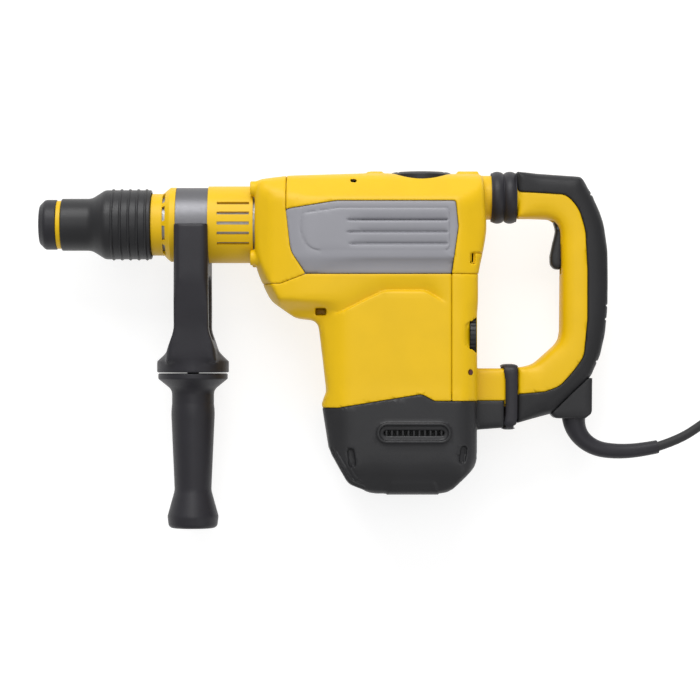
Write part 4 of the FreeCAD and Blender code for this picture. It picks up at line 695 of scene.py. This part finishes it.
def outward(mesh):
    """Merges doubles and turns every face outwards."""
    b = bmesh.new()
    b.from_mesh(mesh)
    bmesh.ops.remove_doubles(b, verts=b.verts, dist=1e-6)
    bmesh.ops.recalc_face_normals(b, faces=b.faces)
    b.to_mesh(mesh)
    b.free()


def bellows():
    """Rubber bellows with two full folds and thin waists."""
    x0, x1 = span("upper_boot")[0][0] + 0.1, span("upper_boot")[1][0] - 0.1
    peak, waist = TOP_Y - STUB_Y - 0.4, STUB_R + 0.9
    outer = []
    steps = 56
    for i in range(steps + 1):
        u = i / steps
        wave = abs(math.sin(u * 2 * math.pi)) ** 0.55
        lip = 1.2 if u < 0.04 or u > 0.94 else 0.0
        outer.append((x0 + (x1 - x0) * u, max(waist + lip, waist + (peak - waist) * wave)))
    inner = [(px, max(STUB_R + 0.05, r - 1.6)) for px, r in reversed(outer)]
    return lathe("upper_boot_bellows", outer + inner, STUB_Y, MID)


def joint_band(x, y, z):
    """Rubber saddle round the lower arm's joint: narrow on its sides, flared along its top and bottom."""
    w = np.abs(z - MID)
    outer = polygon([(-5, -68.2, 0), (20.8, -67.4, 7), (20.8, -12.6, 7), (-5, -12.0, 0)], w, y)
    up, down = np.clip((y + 40) / 28, 0, 1) ** 3, np.clip((-40 - y) / 28, 0, 1) ** 3
    front = 153.4 - 3.6 * up - 3.4 * down
    back = 164.2 - 2.0 * down
    ends = np.maximum(front - x, x - back)
    body = both(outer + 1.2 - 1.2 * np.clip(-ends / 3.5, 0, 1) ** 0.7, ends, 1.0)
    inner = polygon([(-5, -66.4, 0), (19.2, -66.4, 4), (19.2, -14.8, 4), (-5, -14.8, 0)], w, y)
    return without(body, inner, 0.2)


# ------------------------------------------------------------ geometry nodes
def strip_tree(name):
    """Node group: a row of like bars, with inputs for their number, spacing, size and finish."""
    tree = bpy.data.node_groups.new(name, "GeometryNodeTree")
    tree.interface.new_socket("Geometry", in_out="OUTPUT", socket_type="NodeSocketGeometry")
    for label, kind in (("Count", "NodeSocketInt"), ("First", "NodeSocketVector"),
                        ("Step", "NodeSocketVector"),
                        ("Size", "NodeSocketVector"), ("Turn", "NodeSocketVector"),
                        ("Finish", "NodeSocketMaterial")):
        tree.interface.new_socket(label, in_out="INPUT", socket_type=kind)
    given = add(tree, "NodeGroupInput")
    row = add(tree, "GeometryNodeMeshLine", {"Count": given.outputs["Count"],
                                             "Start Location": given.outputs["First"],
                                             "Offset": given.outputs["Step"]})
    bar = add(tree, "GeometryNodeMeshCube", {"Size": given.outputs["Size"]})
    bar.inputs["Vertices X"].default_value = 3
    fine = add(tree, "GeometryNodeSubdivisionSurface", {"Mesh": bar.outputs["Mesh"]})
    fine.inputs["Level"].default_value = 2
    fine.inputs["Edge Crease"].default_value = 0.55
    bars = add(tree, "GeometryNodeInstanceOnPoints",
               {"Points": row.outputs["Mesh"], "Instance": fine.outputs["Mesh"],
                                                      "Rotation": given.outputs["Turn"]})
    real = add(tree, "GeometryNodeRealizeInstances", {"Geometry": bars.outputs["Instances"]})
    done = add(tree, "GeometryNodeSetMaterial", {"Geometry": real.outputs["Geometry"],
                                                 "Material": given.outputs["Finish"]})
    out = add(tree, "NodeGroupOutput")
    tree.links.new(done.outputs["Geometry"], out.inputs["Geometry"])
    return tree


def grown(name, tree, **inputs):
    """Plain mesh made by a node group with the named inputs set."""
    holder = bpy.data.objects.new(name + "_holder", bpy.data.meshes.new(name + "_holder"))
    bpy.context.scene.collection.objects.link(holder)
    mod = holder.modifiers.new(name, "NODES")
    mod.node_group = tree
    for item in tree.interface.items_tree:
        if item.in_out == "INPUT" and item.name in inputs:
            mod[item.identifier] = inputs[item.name]
    graph = bpy.context.evaluated_depsgraph_get()
    mesh = bpy.data.meshes.new_from_object(holder.evaluated_get(graph))
    mesh.name = name
    holder.modifiers.clear()
    bpy.data.objects.remove(holder)
    mesh.polygons.foreach_set("use_smooth", np.ones(len(mesh.polygons), bool))
    return mesh


# ------------------------------------------------------------ mains lead
CORD_ROUTE = [(284, -82.7, MID - 3.5), (303, -77.0, 44), (325, -63.5, 35), (350, -47, 21), (376, -31, 8),
              (402, -15.6, 4.1), (426.4, -1.4, 4.1)]
CORD_D = 8.0
PER_TURN = 14
COIL_R = 34.0             # innermost turn
COIL_BASE = 0.85          # the tie passes under the coil


def lead_points():
    """Route to the coil, its turns wound layer by layer, and the tail over them to the plug."""
    cx, cy = centre("cable_coil")[:2]
    pts = list(CORD_ROUTE)
    d = CORD_D * 1.004
    swell = 1 / math.cos(math.pi / PER_TURN)
    angle = math.atan2(pts[-1][1] - cy, pts[-1][0] - cx)
    turns = [(k, 0) for k in (4, 3, 2, 1, 0)] + [(k, 1) for k in (0, 1, 2, 3)] + [(k, 2) for k in (3, 2, 1,
                                                                                                   0)]
    for n, (k, layer) in enumerate(turns):
        r, z = COIL_R + k * d, CORD_D / 2 + COIL_BASE + layer * d
        last = n == len(turns) - 1
        next_k, next_layer = turns[n] if last else turns[n + 1]
        length = 4 if last else PER_TURN - 5 * (next_layer > layer)
        for i in range(length - (n == 0)):
            t = max(0.0, (i - length + 4) / 4)
            t = t * t * (3 - 2 * t)
            angle += 2 * math.pi / PER_TURN
            rr = (r + (next_k - k) * d * t) * swell
            pts.append((cx + rr * math.cos(angle), cy + rr * math.sin(angle),
                        z + (next_layer - layer) * d * t))
    for i in range(1, 5):
        t = i / 4
        angle += 2 * math.pi / PER_TURN
        rr = COIL_R * swell
        pts.append((cx + rr * math.cos(angle), cy + rr * math.sin(angle), z + d * t * t * (3 - 2 * t)))
    left = 2 * math.pi * math.ceil(angle / (2 * math.pi)) + math.radians(2) - angle
    for i in range(1, 8):
        t = i / 7
        rr = (COIL_R + (37 * t * t * (3 - 2 * t))) * swell
        pts.append((cx + rr * math.cos(angle + left * t), cy + rr * math.sin(angle + left * t),
                    z + d + 1.5 * t ** 3))
    plug = centre("plug")
    end_x, bend = span("plug")[1][0], 34.5
    for a, rise in ((10, 0.30), (30, 0.55), (50, 0.78), (70, 0.93)):
        c, s = math.cos(math.radians(a)), math.sin(math.radians(a))
        pts.append((end_x + 3 + bend * 1.02 * c, plug[1] - bend + bend * 1.02 * s,
                    z + d + (plug[2] - z - d) * rise))
    return pts + [(end_x + 9, plug[1], plug[2] - 0.2), (end_x - 1, plug[1], plug[2])]


def coil_tie():
    """Strap of hook-and-loop tape closed round the coil's section."""
    section = [(COIL_R - 4.6, COIL_BASE - 0.1, 1.5), (COIL_R + 37, COIL_BASE - 0.1, 2), (COIL_R + 37, 9, 4),
               (COIL_R + 29, 26, 4), (COIL_R - 4.6, 26, 3)]
    low, high = [COIL_R - 8, -8, 0], [COIL_R + 41, 8, 31]
    x, y, z = grid(low, high, 0.5)
    loop = polygon(section, x, z)
    band = both(both(loop - 0.8, np.abs(y) - 7, 0.5), -loop)
    tab = both(both(np.abs(x - 46) - 9, np.abs(z - 27.2) - 0.6, 0.4), np.abs(y) - 6.6, 0.4)
    mesh = mesh_from("coil_tie", either(band, tab, 0.3), low, 0.5)
    cx, cy = centre("cable_coil")[:2]
    mesh.transform(Matrix.Translation((cx * MM, cy * MM, 0)) @ Matrix.Rotation(math.radians(38), 4, "Z"))
    return place("coil_tie", mesh, "rear_handle", "cord_rubber", "woven_tie")


def lead_curve(points, radius):
    curve = bpy.data.curves.new("mains_lead", "CURVE")
    curve.dimensions = "3D"
    line = curve.splines.new("NURBS")
    line.points.add(len(points) - 1)
    for p, (x, y, z) in zip(line.points, points):
        p.co = (x * MM, y * MM, z * MM, 1.0)
    line.order_u = 3
    line.use_endpoint_u = True
    line.resolution_u = 6
    curve.bevel_depth = radius * MM
    curve.bevel_resolution = 5
    curve.use_fill_caps = True
    return curve


# ------------------------------------------------------------ settings
def hue(label, about, code):
    return bpy.props.FloatVectorProperty(name=label, description=about, subtype="COLOR", size=4, min=0,
                                         max=1,
                                         default=srgb(code))


class HammerColours(bpy.types.PropertyGroup):
    """Colours of the mouldings."""
    yellow: hue("Yellow", "Casing and D-handle shells", "#DAB000")
    charcoal: hue("Charcoal", "Motor end cap and fixed arm", "#222224")
    overmould: hue("Overmould", "Soft skin of the D-handle", "#1E1E20")
    rubber: hue("Rubber", "Side handle, boots and nose cap", "#232227")
    panel: hue("Panel", "Side panels", "#8A8A90")


class HammerSizes(bpy.types.PropertyGroup):
    """Sizes that a user would change."""
    lead_length: bpy.props.FloatProperty(name="Lead length", description="Free length of the mains lead",
                                         default=4.0,
                                         min=2.0, max=6.0, unit="LENGTH", subtype="DISTANCE")
    casing_step: bpy.props.FloatProperty(name="Casing detail",
                                         description="Grid spacing of the casing, in mm",
                                         default=0.85, min=0.6, max=3.0)
    fine_step: bpy.props.FloatProperty(name="Handle detail",
                                       description="Grid spacing of the handles, in mm",
                                       default=0.75, min=0.5, max=3.0)
    louvres: bpy.props.IntProperty(name="Louvre bars", description="Bars across each air inlet", default=11,
                                   min=3,
                                   max=24)


class PieceOperator:
    """What every operator of this file shares."""
    bl_options = {"REGISTER"}

    def execute(self, context):
        self.build(context.scene.hammer_sizes, context.scene.hammer_colours)
        return {"FINISHED"}


class HAMMER_OT_finishes(PieceOperator, bpy.types.Operator):
    """Make the materials and give each CAD part its own"""
    bl_idname = "hammer.finishes"
    bl_label = "Finishes"

    def build(self, sizes, colours):
        make_finishes(colours)
        for node, obj in frame["nodes"].items():
            obj.data.materials.clear()
            obj.data.materials.append(FINISHES[NODE_FINISH[SLOT_OF[node]]])


class HAMMER_OT_side_panels(PieceOperator, bpy.types.Operator):
    """Build the two grooved side panels"""
    bl_idname = "hammer.side_panels"
    bl_label = "Side panels"

    def build(self, sizes, colours):
        for node, side in (("side_panel_left", 1), ("side_panel_right", -1)):
            low, high = span(node)
            sculpt(node + "_skin", node, "housing", "grey_panel", "moulded_grey_nylon", side_panel(side),
                   sizes.fine_step, low=low - [0, 0, 3 if side > 0 else 0],
                   high=high + [0, 0, 0 if side > 0 else 3])


class HAMMER_OT_casing(PieceOperator, bpy.types.Operator):
    """Build the casing's mouldings"""
    bl_idname = "hammer.casing"
    bl_label = "Casing"

    def build(self, sizes, colours):
        for node, shape in (("front_cover", front_cover), ("top_cover", top_cover),
                            ("motor_housing", motor_housing),
                            ("rear_cover", rear_cover)):
            sculpt(node + "_skin", node, "housing", "yellow_abs", "moulded_yellow_nylon", shape,
                   sizes.casing_step)
        sculpt("end_cap_skin", "end_cap", "housing", "charcoal_shell", "moulded_charcoal_nylon", end_cap,
               sizes.casing_step)


class HAMMER_OT_louvres(PieceOperator, bpy.types.Operator):
    """Set the bars across both air inlets of the end cap"""
    bl_idname = "hammer.louvres"
    bl_label = "Air inlet bars"

    def build(self, sizes, colours):
        tree = strip_tree("row_of_bars")
        run = (VENT_X[1] - VENT_X[0] + 1) / (sizes.louvres - 1)
        for name, z in (("left", MID + HALF_WIDTH - 5.4), ("right", MID - HALF_WIDTH + 5.4)):
            mesh = grown("inlet_bars_" + name, tree, Count=sizes.louvres,
                         Finish=FINISHES["moulded_charcoal_nylon"],
                         First=((VENT_X[0] - 0.5) * MM, VENT_Y * MM, z * MM), Step=(run * MM, 0.0, 0.0),
                         Size=(1.7 * MM, 7.4 * MM, 4.0 * MM), Turn=(0.0, 0.0, 0.0))
            place("inlet_bars_" + name, mesh, "housing", "charcoal_shell", "moulded_charcoal_nylon")


class HAMMER_OT_rear_handle(PieceOperator, bpy.types.Operator):
    """Build the D-handle: its shells, soft skin, trigger, lead inlet and joints"""
    bl_idname = "hammer.rear_handle"
    bl_label = "D-handle"

    def build(self, sizes, colours):
        for node, side in (("handle_shell_left", 1), ("handle_shell_right", -1)):
            sculpt(node + "_skin", node, "rear_handle", "yellow_abs", "moulded_yellow_nylon", shell(side),
                   sizes.fine_step)
        sculpt("grip_skin", "grip_overmould", "rear_handle", "black_overmould", "elastomer_overmould",
               overmould,
               sizes.fine_step)
        sculpt("trigger_key", "trigger", "trigger", "black_rubber", "moulded_charcoal_nylon", trigger, 0.6)
        sculpt("lead_inlet", "cable_guard", "rear_handle", "charcoal_shell", "moulded_charcoal_nylon",
               cable_guard,
               sizes.fine_step)
        boot = place("upper_bellows", bellows(), None, "black_rubber", "moulded_rubber", "upper_boot")
        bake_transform(boot)
        saddle = sculpt("joint_saddle", "lower_boot", None, "black_rubber", "moulded_rubber", joint_band,
                        0.7,
                        low=[148, -70, MID - 22], high=[165, -10, MID + 22])
        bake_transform(saddle)


class HAMMER_OT_side_handle(PieceOperator, bpy.types.Operator):
    """Build the side handle's fork"""
    bl_idname = "hammer.side_handle"
    bl_label = "Side handle"

    def build(self, sizes, colours):
        sculpt("side_fork", "handle_yoke", "side_handle", "black_rubber", "moulded_rubber", yoke,
               sizes.fine_step)


def spring_copy(node, body):
    """The CAD spring's own mesh as a piece, in place of the node."""
    source = frame["nodes"][node]
    mesh = source.data.copy()
    mesh.transform(source.matrix_world)
    return place(node + "_coil", mesh, body, SLOT_OF[node], "oiled_spring_wire", node)


class HAMMER_OT_springs(PieceOperator, bpy.types.Operator):
    """Copy both springs as pieces: the damper spring fixed in place, the sleeve spring riding on the spindle
    """
    bl_idname = "hammer.springs"
    bl_label = "Springs"

    def build(self, sizes, colours):
        damper = spring_copy("damper_spring", None)
        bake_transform(damper)
        coil = spring_copy("sleeve_spring", "spindle")
        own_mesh(coil)


class HAMMER_OT_lead(PieceOperator, bpy.types.Operator):
    """Lay the mains lead and its coil"""
    bl_idname = "hammer.lead"
    bl_label = "Mains lead"

    def build(self, sizes, colours):
        tie = coil_tie()
        lead = bpy.data.objects.new("mains_lead", lead_curve(lead_points(), CORD_D / 2))
        bpy.context.scene.collection.objects.link(lead)
        lead.data.materials.append(FINISHES["rubber_sheath"])
        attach(lead, "rear_handle")
        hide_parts("cable", "cable_coil")


class HAMMER_OT_stage(PieceOperator, bpy.types.Operator):
    """Set the floor, the lights and the camera"""
    bl_idname = "hammer.stage"
    bl_label = "Stage"

    def build(self, sizes, colours):
        scene = bpy.context.scene
        scene.view_settings.view_transform = "Standard"
        world = bpy.data.worlds.new("studio")
        world.use_nodes = True
        world.node_tree.nodes["Background"].inputs["Color"].default_value = (1.0, 1.0, 1.0, 1.0)
        world.node_tree.nodes["Background"].inputs["Strength"].default_value = 0.54
        scene.world = world
        mesh = bpy.data.meshes.new("floor")
        mesh.from_pydata([(-6, -6, 0), (6, -6, 0), (6, 6, 0), (-6, 6, 0)], [], [(0, 1, 2, 3)])
        floor = bpy.data.objects.new("floor", mesh)
        scene.collection.objects.link(floor)
        paper = bpy.data.materials.new("white_paper")
        paper.use_nodes = True
        shader = paper.node_tree.nodes["Principled BSDF"]
        shader.inputs["Base Color"].default_value = (0.35, 0.35, 0.35, 1.0)
        shader.inputs["Roughness"].default_value = 0.9
        shader.inputs["Emission Color"].default_value = (1.0, 1.0, 1.0, 1.0)
        shader.inputs["Emission Strength"].default_value = 0.75
        mesh.materials.append(paper)
        for name, place_at, size, power in (("key_softbox", (-0.4, 3.0, 2.2), 2.6, 105),
                                            ("fill_softbox", (1.2, -1.0, 1.6), 1.2, 4),
                                            ("top_softbox", (0.0, 0.5, 2.6), 1.6, 12)):
            lamp = bpy.data.lights.new(name, "AREA")
            lamp.shape = "DISK"
            lamp.size = size
            lamp.energy = power
            obj = bpy.data.objects.new(name, lamp)
            obj.location = place_at
            obj.rotation_euler = (Vector((0.02, 0, 0.05)) - Vector(place_at)).to_track_quat("-Z",
                                                                                            "Y").to_euler()
            scene.collection.objects.link(obj)
        cam = bpy.data.cameras.new("camera")
        cam.lens, cam.sensor_width, cam.clip_start = 135.0, 36.0, 0.05
        eye = bpy.data.objects.new("camera", cam)
        eye.location = (22.4 * MM, -0.4 * MM, MID * MM + 0.595 * 135 / 36)
        scene.collection.objects.link(eye)
        scene.camera = eye


OPERATORS = (HAMMER_OT_finishes, HAMMER_OT_side_panels, HAMMER_OT_casing, HAMMER_OT_louvres,
             HAMMER_OT_rear_handle,
             HAMMER_OT_side_handle, HAMMER_OT_springs, HAMMER_OT_lead, HAMMER_OT_stage)


class HAMMER_PT_panel(bpy.types.Panel):
    """Lists the hammer's settings and its pieces"""
    bl_idname = "HAMMER_PT_panel"
    bl_label = "Rotary hammer"
    bl_space_type = "VIEW_3D"
    bl_region_type = "UI"
    bl_category = "Hammer"

    def draw(self, context):
        for group in (context.scene.hammer_sizes, context.scene.hammer_colours):
            for key in group.__annotations__:
                self.layout.prop(group, key)
        for operator in OPERATORS:
            self.layout.operator(operator.bl_idname)


CLASSES = (HammerColours, HammerSizes) + OPERATORS + (HAMMER_PT_panel,)


def register():
    for cls in CLASSES:
        bpy.utils.register_class(cls)
    bpy.types.Scene.hammer_sizes = bpy.props.PointerProperty(type=HammerSizes)
    bpy.types.Scene.hammer_colours = bpy.props.PointerProperty(type=HammerColours)


def unregister():
    del bpy.types.Scene.hammer_sizes
    del bpy.types.Scene.hammer_colours
    for cls in reversed(CLASSES):
        bpy.utils.unregister_class(cls)


def main():
    register()
    for operator in OPERATORS:
        getattr(bpy.ops.hammer, operator.bl_idname.split(".")[1])()


if __name__ == "__main__":
    main()
